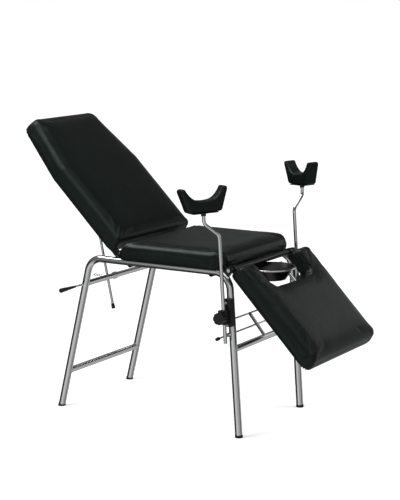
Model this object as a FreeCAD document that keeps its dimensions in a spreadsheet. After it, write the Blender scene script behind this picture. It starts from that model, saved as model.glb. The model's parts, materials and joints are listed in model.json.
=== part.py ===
import FreeCAD, Part
import math
import os

import Sketcher

# Examination couch with a tilting backrest, a tilting foot section with a cut-out for a basin,
# and two clamped leg holders. Millimetres. X runs from the head end to the foot end, Y across
# the couch, Z up from the floor. Runs and sides are given from the middle of the four feet,
# which mid_run and mid_side set off from the middle of the whole couch.

SIZES = {
    # welded tube frame
    "mid_run": -84.1,
    "mid_side": 11.6,
    "rail_height": 715.0,
    "side_offset": 272.0,
    "frame_tube": 32.0,
    "tube_wall": 1.5,
    "bend_radius": 75.0,
    "rear_foot_run": -481.0,
    "front_foot_run": 481.0,
    "rear_splay": 14.7,
    "front_splay": 3.5,
    "tube_end_height": 5.0,
    "rubber_foot_diameter": 38.0,
    "rubber_foot_height": 24.0,
    "lower_cross_tube": 28.0,
    "upper_cross_tube": 25.0,
    "rear_lower_height": 173.0,
    "rear_upper_height": 594.0,
    "front_lower_height": 386.0,
    "front_rod_height": 516.0,
    "front_rod_diameter": 8.0,
    "brace_diameter": 15.0,
    "brace_top_side": -135.0,
    "brace_foot_side": -2.0,
    "seat_cross_tube": 25.0,
    "seat_cross_drop": 12.0,
    "seat_cross_rear_run": -80.0,
    "seat_cross_front_run": 345.0,
    # seat
    "seat_rear_run": -128.0,
    "seat_front_run": 405.0,
    "cushion_half_width": 300.0,
    "board_thickness": 12.0,
    "seat_thickness": 73.0,
    "skirt": 6.0,
    "soft_gap": 0.3,
    "seat_rear_round": 46.0,
    "cushion_round": 22.0,
    "cushion_corner": 26.0,
    "board_screw_head": 12.0,
    "board_screw_rise": 3.0,
    # backrest, drawn level from its pivot
    "backrest_tilt": 44.5,
    "backrest_pivot_run": -140.0,
    "backrest_pivot_rise": 33.0,
    "backrest_start": 22.0,
    "backrest_length": 762.0,
    "taper_start": 462.0,
    "head_half_width": 232.0,
    "backrest_under": -12.0,
    "backrest_thickness": 76.0,
    "backrest_tube": 22.0,
    "backrest_tube_start": 32.0,
    "backrest_tube_reach": 560.0,
    "backrest_tube_side": 238.0,
    "backrest_tube_bend": 60.0,
    "hinge_lug": 6.0,
    "hinge_lug_radius": 12.0,
    "hinge_lug_reach": 64.0,
    "hinge_ear": 6.0,
    "hinge_ear_radius": 10.5,
    "pivot_bolt": 10.0,
    "bolt_head": 16.0,
    "bolt_head_height": 6.0,
    # backrest stay
    "stay_side": -77.0,
    "stay_rod": 12.0,
    "stay_lean": 11.74,
    "stay_reach": 373.8,
    "stay_drop": 31.0,
    "stay_length": 552.0,
    "stay_eye_radius": 9.0,
    "stay_pin": 8.0,
    "stay_cap_length": 24.0,
    "stay_cap_diameter": 18.0,
    "stay_cap_wall": 5.0,
    "stay_loop_wire": 6.0,
    "stay_loop_side": 5.0,
    "stay_loop_length": 94.0,
    "stay_loop_bend": 9.0,
    "collar_offset": 22.0,
    "collar_width": 14.0,
    "clevis_plate": 4.0,
    # release lever of the backrest
    "lever_run": -353.0,
    "lever_height": 584.0,
    "lever_rod": 8.0,
    "lever_end": 420.0,
    "lever_gap": 1.0,
    "pawl_reach": 14.0,
    "pawl_width": 5.0,
    "grip_length": 110.0,
    "grip_wall": 4.0,
    "grip_small": 10.0,
    "grip_large": 21.0,
    "lever_guide_radius": 8.0,
    "lever_guide_width": 12.0,
    "lever_guide_outer": 246.0,
    "lever_guide_inner": 40.0,
    # foot section, drawn level from its pivot
    "foot_tilt": 46.0,
    "foot_pivot_run": 440.0,
    "foot_pivot_rise": 13.0,
    "foot_shaft": 25.0,
    "foot_start": 19.0,
    "foot_length": 517.0,
    "foot_under": 4.0,
    "foot_thickness": 75.0,
    "cutout_half_width": 190.0,
    "cutout_reach": 160.0,
    "cutout_corner": 45.0,
    "strap_side": 242.0,
    "strap_width": 24.0,
    "strap_thickness": 6.0,
    "strap_eye_radius": 17.0,
    "strap_reach": 230.0,
    "bracket_thickness": 12.0,
    "bracket_radius": 15.0,
    "foot_tube": 16.0,
    "foot_tube_start": 32.0,
    "foot_tube_reach": 190.0,
    "foot_tube_side": 124.0,
    "foot_tube_bend": 40.0,
    # strut of the foot section
    "strut_side": 208.0,
    "strut_foot_back": 2.4,
    "strut_foot_rise": 34.0,
    "strut_tube": 18.0,
    "strut_tube_play": 33.0,
    "strut_rod_play": 31.0,
    "strut_bore": 10.0,
    "strut_mount_reach": 150.0,
    "strut_mount_drop": 25.0,
    "strut_pin": 8.0,
    "strut_eye_radius": 9.0,
    "strut_eye_width": 10.0,
    "strut_slot_back": 17.0,
    "strut_slot_front": 2.0,
    "strut_slot_width": 15.0,
    # release rod of the foot section
    "release_run": 430.0,
    "release_height": 446.0,
    "release_rod": 8.0,
    "release_near_end": 366.0,
    "release_far_end": 196.0,
    "release_cap": 15.0,
    "release_cap_length": 22.0,
    "release_guide_eye": 9.0,
    "release_guide_far": 150.0,
    # basin
    "basin_run": 489.0,
    "basin_radius": 100.0,
    "basin_depth": 58.0,
    "basin_base_radius": 62.0,
    "basin_wall": 1.2,
    "basin_ring_wire": 8.0,
    "basin_arm_side": 62.0,
    "basin_drop": 10.0,
    "basin_arm_short": 88.0,
    # leg holders
    "clamp_height": 550.0,
    "clamp_length": 118.0,
    "clamp_width": 34.0,
    "clamp_outer": 72.0,
    "clamp_body_outer": 38.0,
    "clamp_boss_height": 60.0,
    "holder_offset": 53.0,
    "holder_back": -6.0,
    "holder_rod": 16.0,
    "bush_wall": 2.0,
    "holder_below": 128.0,
    "holder_bend_near": 336.0,
    "holder_bend_far": 364.0,
    "holder_step": 55.0,
    "holder_throw_near": 68.0,
    "holder_throw_far": 63.0,
    "holder_turn_near": -119.0,
    "holder_turn_far": 78.0,
    "holder_bend_radius": 36.0,
    "holder_neck": 42.0,
    "knob_diameter": 52.0,
    "knob_thickness": 22.0,
    "knob_gap": 6.0,
    "knob_lobes": 7.0,
    "knob_flute": 12.0,
    "knob_stem": 8.0,
    "knob_height": -14.0,
    "clamp_bolt_top": 45.0,
    "clamp_bolt_low": -52.0,
    "clamp_bolt_head": 13.0,
    "pad_half_top": 108.0,
    "pad_half_base": 76.0,
    "pad_height": 104.0,
    "pad_valley": 50.0,
    "pad_tip": 18.0,
    "pad_depth": 84.0,
    "pad_round": 8.0,
    "pad_yaw_near": 57.0,
    "pad_yaw_far": -28.0,
    "pad_socket_radius": 11.0,
    "pad_socket_length": 12.0,
    "pad_socket_rise": 4.0,
    "pad_plate": 4.0,
    # fits
    "running_gap": 0.05,
}

X_AXIS = FreeCAD.Vector(1, 0, 0)
Y_AXIS = FreeCAD.Vector(0, 1, 0)
Z_AXIS = FreeCAD.Vector(0, 0, 1)

doc = FreeCAD.newDocument("examination_couch")
sheet = doc.addObject("Spreadsheet::Sheet", "Sizes")
for row, (alias, size) in enumerate(SIZES.items(), start=1):
    sheet.set("A%d" % row, alias)
    sheet.set("B%d" % row, str(size))
    sheet.setAlias("B%d" % row, alias)
doc.recompute()

PARTS = []


def bound(text):
    """Return an expression with each size's name prefixed by the sheet's name."""
    words = []
    word = ""
    for letter in text + " ":
        if letter.isalnum() or letter == "_":
            word += letter
            continue
        words.append("Sizes." + word if word in SIZES else word)
        words.append(letter)
        word = ""
    return "".join(words).strip()


def amount(text):
    """Return the present value of an expression as a number."""
    value = sheet.evalExpression(bound(text))
    return float(getattr(value, "Value", value))


def put(shape, **settings):
    """Bind properties of an object to expressions."""
    for name, text in settings.items():
        shape.setExpression(name, bound(text))
    return shape


def place(shape, run="0", side="0", height="0", axis=None, angle="0"):
    """Place an object by expressions, turned by an angle about one axis."""
    turn = FreeCAD.Rotation(axis or Z_AXIS, amount(angle))
    where = FreeCAD.Vector(amount(run), amount(side), amount(height))
    shape.Placement = FreeCAD.Placement(where, turn)
    shape.setExpression("Placement.Base.x", bound(run))
    shape.setExpression("Placement.Base.y", bound(side))
    shape.setExpression("Placement.Base.z", bound(height))
    if axis is not None:
        shape.setExpression("Placement.Rotation.Angle", bound(angle))
    return shape


def cylinder(radius, height):
    """Return a cylinder along Z with bound radius and height."""
    return put(doc.addObject("Part::Cylinder", "Cylinder"), Radius=radius, Height=height)


def across(radius, length, run, side, height):
    """Return a cylinder along Y that starts at a side and runs towards +Y."""
    return place(cylinder(radius, length), run, side, height, X_AXIS, "-90")


def cone(low, high, height):
    """Return a cone along Z."""
    return put(doc.addObject("Part::Cone", "Cone"), Radius1=low, Radius2=high, Height=height)


def box(length, width, height):
    """Return a box with bound sides."""
    return put(doc.addObject("Part::Box", "Box"), Length=length, Width=width, Height=height)


def cut(base, *tools):
    """Cut the tools out of a base."""
    for tool in tools:
        result = doc.addObject("Part::Cut", "Cut")
        result.Base = base
        result.Tool = tool
        base = result
    return base


def fuse(*shapes):
    """Fuse shapes into one solid."""
    result = doc.addObject("Part::MultiFuse", "Fuse")
    result.Shapes = list(shapes)
    result.Refine = True
    return result


def common(base, tool):
    """Keep what two shapes share."""
    result = doc.addObject("Part::Common", "Common")
    result.Base = base
    result.Tool = tool
    return result


def group(*shapes):
    """Gather separate solids in one node."""
    result = doc.addObject("Part::Compound", "Group")
    result.Links = list(shapes)
    return result


def node(shape, name):
    """Name a finished sub-part and set it off sideways to the middle of the couch."""
    whole = place(group(shape), side="mid_side")
    whole.Label = name
    PARTS.append((whole, name))


def origin_plane(body, role):
    """Return one of a body's own origin planes."""
    return next(item for item in body.Origin.OriginFeatures if item.Role == role)


def new_sketch(body, role, name):
    """Return a sketch on one of a body's own origin planes."""
    sketch = body.newObject("Sketcher::SketchObject", name)
    sketch.AttachmentSupport = [(origin_plane(body, role), "")]
    sketch.MapMode = "FlatFace"
    return sketch


def pin_down(sketch, item, corner, across_text, up_text):
    """Hold a point of a sketch at two bound coordinates."""
    for kind, text in (("DistanceX", across_text), ("DistanceY", up_text)):
        index = sketch.addConstraint(Sketcher.Constraint(kind, -1, 1, item, corner, amount(text)))
        sketch.setExpression("Constraints[%d]" % index, bound(text))


def at(point):
    """Return a sketch point from two expressions."""
    return FreeCAD.Vector(amount(point[0]), amount(point[1]), 0)


def polygon(sketch, points):
    """Draw a closed outline of straight lines through bound points."""
    for index, point in enumerate(points):
        following = points[(index + 1) % len(points)]
        sketch.addGeometry(Part.LineSegment(at(point), at(following)), False)
    for index in range(len(points)):
        sketch.addConstraint(Sketcher.Constraint("Coincident", index, 2, (index + 1) % len(points), 1))
    for index, point in enumerate(points):
        pin_down(sketch, index, 1, point[0], point[1])


def bent_line(sketch, points, radius):
    """Draw straight runs through bound points, joined by tangent arcs of one bound radius."""
    corners = [at(point) for point in points]
    size = amount(radius)
    starts, ends = [corners[0]], []
    arcs = []
    for before, corner, after in zip(corners, corners[1:], corners[2:]):
        back = (before - corner).normalize()
        ahead = (after - corner).normalize()
        half = back.getAngle(ahead) / 2
        reach = size / math.tan(half)
        middle = corner + (back + ahead).normalize() * (size / math.sin(half))
        first = corner + back * reach
        last = corner + ahead * reach
        left_turn = ahead.cross(back).z > 0
        angles = [math.atan2(end.y - middle.y, end.x - middle.x) for end in (first, last)]
        whole = Part.Circle(middle, Z_AXIS, size)
        arcs.append((Part.ArcOfCircle(whole, *(angles if left_turn else angles[::-1])), left_turn))
        ends.append(first)
        starts.append(last)
    ends.append(corners[-1])
    lines = []
    for start, end in zip(starts, ends):
        lines.append(sketch.addGeometry(Part.LineSegment(start, end), False))
    pin_down(sketch, lines[0], 1, *points[0])
    pin_down(sketch, lines[-1], 2, *points[-1])
    for index, (arc, left_turn) in enumerate(arcs):
        item = sketch.addGeometry(arc, False)
        near_end, far_end = (1, 2) if left_turn else (2, 1)
        sketch.addConstraint(Sketcher.Constraint("Tangent", lines[index], 2, item, near_end))
        sketch.addConstraint(Sketcher.Constraint("Tangent", lines[index + 1], 1, item, far_end))
        round_size = sketch.addConstraint(Sketcher.Constraint("Radius", item, size))
        sketch.setExpression("Constraints[%d]" % round_size, bound(radius))
        corner = sketch.addGeometry(Part.Point(corners[index + 1]), True)
        pin_down(sketch, corner, 1, *points[index + 1])
        sketch.addConstraint(Sketcher.Constraint("PointOnObject", corner, 1, lines[index]))
        sketch.addConstraint(Sketcher.Constraint("PointOnObject", corner, 1, lines[index + 1]))


def circle(sketch, radius, across_text="0", up_text="0"):
    """Draw a bound circle at a bound centre."""
    centre = FreeCAD.Vector(amount(across_text), amount(up_text), 0)
    item = sketch.addGeometry(Part.Circle(centre, Z_AXIS, amount(radius)), False)
    index = sketch.addConstraint(Sketcher.Constraint("Radius", item, amount(radius)))
    sketch.setExpression("Constraints[%d]" % index, bound(radius))
    pin_down(sketch, item, 3, across_text, up_text)


def bent_tube(points, bend, outer, inner=None, role="XZ_Plane"):
    """Return a tube or rod swept along straight runs and tangent bends."""
    body = doc.addObject("PartDesign::Body", "BentTube")
    path = new_sketch(body, role, "Path")
    bent_line(path, points, bend)
    section = body.newObject("Sketcher::SketchObject", "Section")
    section.AttachmentSupport = [(path, "Edge1")]
    section.MapMode = "NormalToEdge"
    section.MapReversed = False
    section.AttachmentOffset = FreeCAD.Placement()
    section.MapPathParameter = 0.0
    circle(section, outer)
    if inner is not None:
        circle(section, inner)
    doc.recompute()
    pipe = body.newObject("PartDesign::AdditivePipe", "Pipe")
    pipe.Profile = section
    pipe.Spine = (path, ["Edge%d" % (index + 1) for index in range(2 * len(points) - 3)])
    return body


def padded_outline(points, thickness, role="XY_Plane", middle=False, reverse=False):
    """Return a body padded from a straight-sided outline."""
    body = doc.addObject("PartDesign::Body", "Outline")
    sketch = new_sketch(body, role, "Sketch")
    polygon(sketch, points)
    pad = body.newObject("PartDesign::Pad", "Pad")
    pad.Profile = sketch
    pad.Midplane = middle
    pad.Reversed = reverse
    put(pad, Length=thickness)
    doc.recompute()
    return body


def edges_where(shape, test):
    """Name the edges of a shape whose middle and direction pass a test."""
    names = []
    for index, edge in enumerate(shape.Edges, start=1):
        middle = edge.valueAt((edge.FirstParameter + edge.LastParameter) / 2)
        way = edge.Vertexes[-1].Point - edge.Vertexes[0].Point
        if test(middle, way):
            names.append("Edge%d" % index)
    return names


def rounded(body, test, radius):
    """Fillet the edges of a body that pass a test."""
    tip = body.Tip
    fillet = body.newObject("PartDesign::Fillet", "Fillet")
    fillet.Base = (tip, edges_where(tip.Shape, test))
    put(fillet, Radius=radius)
    doc.recompute()
    return body


def revolved(points, role="XZ_Plane"):
    """Return a body turned about its Z axis from an outline at positive radius."""
    body = doc.addObject("PartDesign::Body", "Turned")
    sketch = new_sketch(body, role, "Profile")
    polygon(sketch, points)
    turn = body.newObject("PartDesign::Revolution", "Revolution")
    turn.Profile = sketch
    turn.ReferenceAxis = (sketch, ["V_Axis"])
    turn.Angle = 360
    return body


TUBE_RADIUS = "frame_tube / 2"
REAR_LEG = "(mid_run + rear_foot_run + tan(rear_splay) * (%s))"
FRONT_LEG = "(mid_run + front_foot_run - tan(front_splay) * (%s))"


def leg_cutter(leg, side, splay):
    """Return the solid of one straight leg, to cope what is welded to it."""
    tool = cylinder(TUBE_RADIUS, "rail_height * 2")
    return place(tool, leg % "-rail_height / 2", side, "-rail_height / 2", Y_AXIS, splay)


def side_frame(name, side):
    """Bend one side of the frame from a single tube: leg, rail and leg."""
    points = [
        ("rear_foot_run + tan(rear_splay) * tube_end_height", "tube_end_height"),
        ("rear_foot_run + tan(rear_splay) * rail_height", "rail_height"),
        ("front_foot_run - tan(front_splay) * rail_height", "rail_height"),
        ("front_foot_run - tan(front_splay) * tube_end_height", "tube_end_height"),
    ]
    tube = bent_tube(points, "bend_radius", TUBE_RADIUS, "frame_tube / 2 - tube_wall")
    node(place(tube, "mid_run", side), name)


def rubber_foot(leg, side, splay):
    """Return a cap that is pushed on a leg's end and cut flat at the floor."""
    low = "-rubber_foot_height / 2"
    cap = place(cylinder("rubber_foot_diameter / 2", "rubber_foot_height * 1.5"), leg % low, side, low, Y_AXIS, splay)
    socket = cylinder("frame_tube / 2 + running_gap", "rubber_foot_height * 2")
    place(socket, leg % "tube_end_height", side, "tube_end_height", Y_AXIS, splay)
    above_floor = box("rubber_foot_diameter * 2", "rubber_foot_diameter * 2", "rubber_foot_height * 2")
    place(above_floor, leg % "0" + " - rubber_foot_diameter", side + " - rubber_foot_diameter", "0")
    return cut(common(cap, above_floor), socket)


def coped_tube(name, diameter, height, leg, splay, wall="tube_wall"):
    """Weld a straight tube between the two legs at one end, coped to their round."""
    radius = diameter + " / 2"
    tube = across(radius, "side_offset * 2", leg % height, "-side_offset", height)
    bore = across(radius + " - " + wall, "side_offset * 2", leg % height, "-side_offset", height)
    near = leg_cutter(leg, "-side_offset", splay)
    far = leg_cutter(leg, "side_offset", splay)
    node(cut(tube, bore, near, far), name)


def seat_cross_tube(name, run):
    """Weld a tube between the two rails, just under the seat."""
    where = "mid_run + " + run
    height = "rail_height - seat_cross_drop"
    tube = across("seat_cross_tube / 2", "side_offset * 2", where, "-side_offset", height)
    bore = across("seat_cross_tube / 2 - tube_wall", "side_offset * 2", where, "-side_offset", height)
    rails = []
    for side in ("-side_offset", "side_offset"):
        rail = cylinder(TUBE_RADIUS, "seat_cross_tube * 4")
        rails.append(place(rail, where + " - seat_cross_tube * 2", side, "rail_height", Y_AXIS, "90"))
    node(cut(tube, bore, *rails), name)


def frame():
    """Build the welded frame and its rubber feet."""
    side_frame("side_frame_near", "-side_offset")
    side_frame("side_frame_far", "side_offset")
    rear = (REAR_LEG, "rear_splay")
    front = (FRONT_LEG, "-front_splay")
    coped_tube("rear_lower_cross_tube", "lower_cross_tube", "rear_lower_height", *rear)
    coped_tube("rear_upper_cross_tube", "upper_cross_tube", "rear_upper_height", *rear)
    coped_tube("front_lower_cross_tube", "lower_cross_tube", "front_lower_height", *front)
    seat_cross_tube("seat_cross_tube_rear", "seat_cross_rear_run")
    seat_cross_tube("seat_cross_tube_front", "seat_cross_front_run")
    feet = []
    for leg, splay in (rear, front):
        for side in ("-side_offset", "side_offset"):
            feet.append(rubber_foot(leg, side, splay))
    node(group(*feet), "rubber_feet")


def front_rod_and_brace():
    """Weld the thin rod between the front legs and the slanting brace below it."""
    rod = across("front_rod_diameter / 2", "side_offset * 2", FRONT_LEG % "front_rod_height", "-side_offset",
                 "front_rod_height")
    near = leg_cutter(FRONT_LEG, "-side_offset", "-front_splay")
    far = leg_cutter(FRONT_LEG, "side_offset", "-front_splay")
    node(cut(rod, near, far), "front_upper_rod")
    drop = "(front_rod_height - front_lower_height)"
    slide = "(brace_foot_side - brace_top_side)"
    bar = cylinder("brace_diameter / 2", "sqrt(%s^2 + %s^2)" % (drop, slide))
    body = place(bar, FRONT_LEG % "front_lower_height", "brace_foot_side", "front_lower_height", X_AXIS,
                 "atan(%s / %s)" % (slide, drop))
    lean = doc.addObject("Part::Compound", "Lean")
    lean.Links = [body]
    rod_cutter = across("front_rod_diameter / 2", "side_offset * 2", FRONT_LEG % "front_rod_height", "-side_offset",
                        "front_rod_height")
    tube_cutter = across("lower_cross_tube / 2", "side_offset * 2", FRONT_LEG % "front_lower_height", "-side_offset",
                         "front_lower_height")
    above = box("brace_diameter * 4", "brace_diameter * 8", "brace_diameter * 4")
    place(above, FRONT_LEG % "front_rod_height" + " - brace_diameter * 2", "brace_top_side - brace_diameter * 4",
          "front_rod_height")
    node(cut(lean, tube_cutter, rod_cutter, above), "front_slanting_brace")


def back_pose(shape):
    """Tilt a shape drawn level about the backrest pivot."""
    return place(shape, "mid_run + backrest_pivot_run", "0", "rail_height + backrest_pivot_rise", Y_AXIS,
                 "backrest_tilt")


def foot_pose(shape):
    """Tilt a shape drawn level about the foot section's shaft."""
    return place(shape, "mid_run + foot_pivot_run", "0", "rail_height + foot_pivot_rise", Y_AXIS, "foot_tilt")


def soft(points, under, thickness, board_points, corner_test):
    """Return a cushion with rounded rims and a recess that holds its board."""
    block = padded_outline(points, thickness)
    top = amount(thickness)
    rounded(block, corner_test, "cushion_corner")
    rounded(block, lambda middle, way: middle.z > top - 0.01, "cushion_round")
    place(block, height=under)
    recess = place(padded_outline(board_points, "board_thickness + soft_gap"), height=under + " - soft_gap")
    return cut(block, recess)


def corners(rear, front, half, inset="0"):
    """Return the four corners of a rectangle, drawn in by an inset."""
    left = "%s + %s" % (rear, inset)
    right = "%s - %s" % (front, inset)
    near = "%s - (%s)" % (inset, half)
    far = "%s - %s" % (half, inset)
    return [(left, near), (right, near), (right, far), (left, far)]


def upright(middle, way):
    """Tell whether an edge runs along Z."""
    return abs(way.x) + abs(way.y) < 0.01 and abs(way.z) > 1


def screws(places, height):
    """Return round screw heads that hang under a board."""
    heads = []
    for run, side in places:
        head = cylinder("board_screw_head / 2", "board_screw_rise")
        heads.append(place(head, run, side, height + " - board_screw_rise"))
    return group(*heads)


def seat():
    """Build the fixed seat: a board that rests on the rails, and its cushion."""
    base = "rail_height + frame_tube / 2"
    rear = "seat_rear_run"
    front = "seat_front_run"
    board = padded_outline(corners(rear, front, "cushion_half_width", "skirt"), "board_thickness")
    node(place(board, "mid_run", height=base), "seat_board")
    block = padded_outline(corners(rear, front, "cushion_half_width"), "seat_thickness")
    top = amount("seat_thickness")
    back_edge = amount(rear)
    rounded(block, lambda middle, way: middle.z > top - 0.01 and middle.x < back_edge + 0.01, "seat_rear_round")
    rounded(block, lambda middle, way: upright(middle, way) and middle.x > 0, "cushion_corner")
    rounded(block, lambda middle, way: middle.z > top - 0.01 and middle.x > back_edge + amount("seat_rear_round"),
            "cushion_round")
    recess = padded_outline(corners(rear, front, "cushion_half_width", "skirt"), "board_thickness")
    node(place(cut(block, recess), "mid_run", height=base), "seat_cushion")
    places = []
    for run in (rear + " + cushion_corner * 3", front + " - cushion_corner * 4"):
        for side in ("-side_offset + frame_tube * 2", "side_offset - frame_tube * 2"):
            places.append(("mid_run + " + run, side))
    node(screws(places, base), "seat_board_screws")


def backrest_outline(inset):
    """Return the tapering outline of the backrest, drawn in by an inset."""
    start = "-(backrest_start + %s)" % inset
    taper = "-taper_start"
    end = "-(backrest_length - %s)" % inset
    wide = "cushion_half_width - %s" % inset
    narrow = "head_half_width - %s" % inset
    return [(start, "-(%s)" % wide), (start, wide), (taper, wide), (end, narrow), (end, "-(%s)" % narrow),
            (taper, "-(%s)" % wide)]


def backrest():
    """Build the tilting backrest with its board, tube, lugs and stay bracket."""
    board = padded_outline(backrest_outline("skirt"), "board_thickness")
    place(board, height="backrest_under")
    node(back_pose(group(board)), "backrest_board")
    cushion = soft(backrest_outline("0"), "backrest_under", "backrest_thickness", backrest_outline("skirt"), upright)
    node(back_pose(cushion), "backrest_cushion")

    axis = "backrest_under - backrest_tube / 2"
    points = [("-backrest_tube_start", "-backrest_tube_side"), ("-backrest_tube_reach", "-backrest_tube_side"),
              ("-backrest_tube_reach", "backrest_tube_side"), ("-backrest_tube_start", "backrest_tube_side")]
    bow = bent_tube(points, "backrest_tube_bend", "backrest_tube / 2", "backrest_tube / 2 - tube_wall", "XY_Plane")
    place(bow, height=axis)
    node(back_pose(group(bow)), "backrest_tube")

    for name, side, away in (("near", "-backrest_tube_side", -1), ("far", "backrest_tube_side", 1)):
        inner = "backrest_tube_side + backrest_tube / 2"
        start = inner if away > 0 else "-(%s) - hinge_lug" % inner
        eye = across("hinge_lug_radius", "hinge_lug", "0", start, "0")
        web = place(box("hinge_lug_reach", "hinge_lug", "backrest_tube"), "-hinge_lug_reach", start,
                    "backrest_under - backrest_tube")
        neck = place(box("hinge_lug_radius * 2", "hinge_lug", "hinge_lug_radius"), "-hinge_lug_radius * 2", start,
                     "backrest_under")
        hole = across("pivot_bolt / 2 + running_gap", "hinge_lug * 3", "0", start + " - hinge_lug", "0")
        board_room = place(box("backrest_length", "hinge_lug * 3", "backrest_thickness"),
                           "-backrest_start - backrest_length", start + " - hinge_lug", "backrest_under")
        node(back_pose(cut(fuse(eye, web, neck), hole, board_room)), "backrest_hinge_lug_" + name)

    ears = []
    bolts = []
    where = "mid_run + backrest_pivot_run"
    pivot = "rail_height + backrest_pivot_rise"
    gap = "backrest_tube_side + backrest_tube / 2 + hinge_lug + running_gap * 4"
    for away in (-1, 1):
        start = gap if away > 0 else "-(%s) - hinge_ear" % gap
        eye = across("hinge_ear_radius", "hinge_ear", where, start, pivot)
        leg = place(box("hinge_ear_radius * 2", "hinge_ear", "backrest_pivot_rise"), where + " - hinge_ear_radius",
                    start, "rail_height")
        hole = across("pivot_bolt / 2", "hinge_ear * 3", where, start + " - hinge_ear", pivot)
        side = "side_offset" if away > 0 else "-side_offset"
        rail = place(cylinder(TUBE_RADIUS, "hinge_ear_radius * 8"), where + " - hinge_ear_radius * 4", side,
                     "rail_height", Y_AXIS, "90")
        ears.append(cut(fuse(eye, leg), hole, rail))
        grip = "hinge_lug + hinge_ear + running_gap * 8"
        shank_start = "(%s) - hinge_lug - running_gap * 8" % gap if away > 0 else "-(%s) - hinge_ear" % gap
        shank = across("pivot_bolt / 2", grip, where, shank_start, pivot)
        head_start = "(%s) - hinge_lug - running_gap * 8 - bolt_head_height" % gap
        if away < 0:
            head_start = "-(%s) + hinge_lug + running_gap * 8" % gap
        bolts.append(fuse(shank, across("bolt_head / 2", "bolt_head_height", where, head_start, pivot)))
    node(group(*ears), "backrest_hinge_ears")
    node(group(*bolts), "backrest_pivot_bolts")


def stay_point(along):
    """Return run and height of a point of the stay, measured down from its pin."""
    run = "(mid_run + backrest_pivot_run - cos(backrest_tilt) * stay_reach - sin(backrest_tilt) * stay_drop"
    run += " + sin(stay_lean) * (%s))" % along
    height = "(rail_height + backrest_pivot_rise + sin(backrest_tilt) * stay_reach - cos(backrest_tilt) * stay_drop"
    height += " - cos(stay_lean) * (%s))" % along
    return run, height


def stay_pose(shape, along):
    """Set a shape drawn along Z on the stay, its base at a distance below the pin."""
    run, height = stay_point(along)
    return place(shape, run, "stay_side", height, Y_AXIS, "-stay_lean")


def backrest_stay():
    """Build the stay that props the backrest, its bracket and the loop that guides it."""
    rod = stay_pose(cylinder("stay_rod / 2", "stay_length - stay_eye_radius / 2"), "stay_length")
    top_run, top_height = stay_point("0")
    eye = across("stay_eye_radius", "stay_rod + 2", top_run, "stay_side - stay_rod / 2 - 1", top_height)
    hole = across("stay_pin / 2 + running_gap", "stay_rod * 2", top_run, "stay_side - stay_rod", top_height)
    node(cut(fuse(rod, eye), hole), "backrest_stay_rod")

    flare = cone("stay_cap_diameter / 2", "stay_rod / 2 + 1.5", "stay_cap_length")
    socket = place(cylinder("stay_rod / 2", "stay_cap_length"), height="stay_cap_wall")
    stay_pose(cut(flare, socket), "stay_length + stay_cap_wall")
    node(doc.Objects[-1], "backrest_stay_cap")

    plates = []
    bottom = "-stay_drop - stay_eye_radius"
    gap = "stay_rod / 2 + 1 + soft_gap"
    for start in ("stay_side - (%s) - clevis_plate" % gap, "stay_side + %s" % gap):
        plate = place(box("stay_eye_radius * 4", "clevis_plate", "backrest_under - (%s)" % bottom),
                      "-stay_reach - stay_eye_radius * 2", start, bottom)
        plates.append(plate)
    foot = place(box("stay_eye_radius * 4", "stay_rod * 3", "clevis_plate"), "-stay_reach - stay_eye_radius * 2",
                 "stay_side - stay_rod * 1.5", "backrest_under - clevis_plate")
    bore = across("stay_pin / 2", "stay_rod * 4", "-stay_reach", "stay_side - stay_rod * 2", "-stay_drop")
    node(back_pose(cut(fuse(foot, *plates), bore)), "backrest_stay_bracket")
    reach = "stay_rod + clevis_plate * 2 + soft_gap * 2 + 10"
    pin = across("stay_pin / 2", reach, "-stay_reach", "stay_side - (%s) / 2" % reach, "-stay_drop")
    node(back_pose(group(pin)), "backrest_stay_pin")

    inner = "stay_rod / 2 + stay_loop_side"
    points = [("0", "-(%s)" % inner), ("-stay_loop_length", "-(%s)" % inner),
              ("-stay_loop_length", inner), ("0", inner)]
    loop = bent_tube(points, "stay_loop_bend", "stay_loop_wire / 2", None, "XY_Plane")
    where = REAR_LEG % "rear_upper_height"
    place(loop, where, "stay_side", "rear_upper_height")
    tube = across("upper_cross_tube / 2", "side_offset", where, "stay_side - side_offset / 2", "rear_upper_height")
    node(cut(loop, tube), "backrest_stay_guide_loop")

    ring = across("upper_cross_tube / 2 + 4", "collar_width", where, "stay_side + collar_offset", "rear_upper_height")
    room = across("upper_cross_tube / 2", "collar_width * 3", where, "stay_side", "rear_upper_height")
    node(cut(ring, room), "cross_tube_collar")


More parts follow.
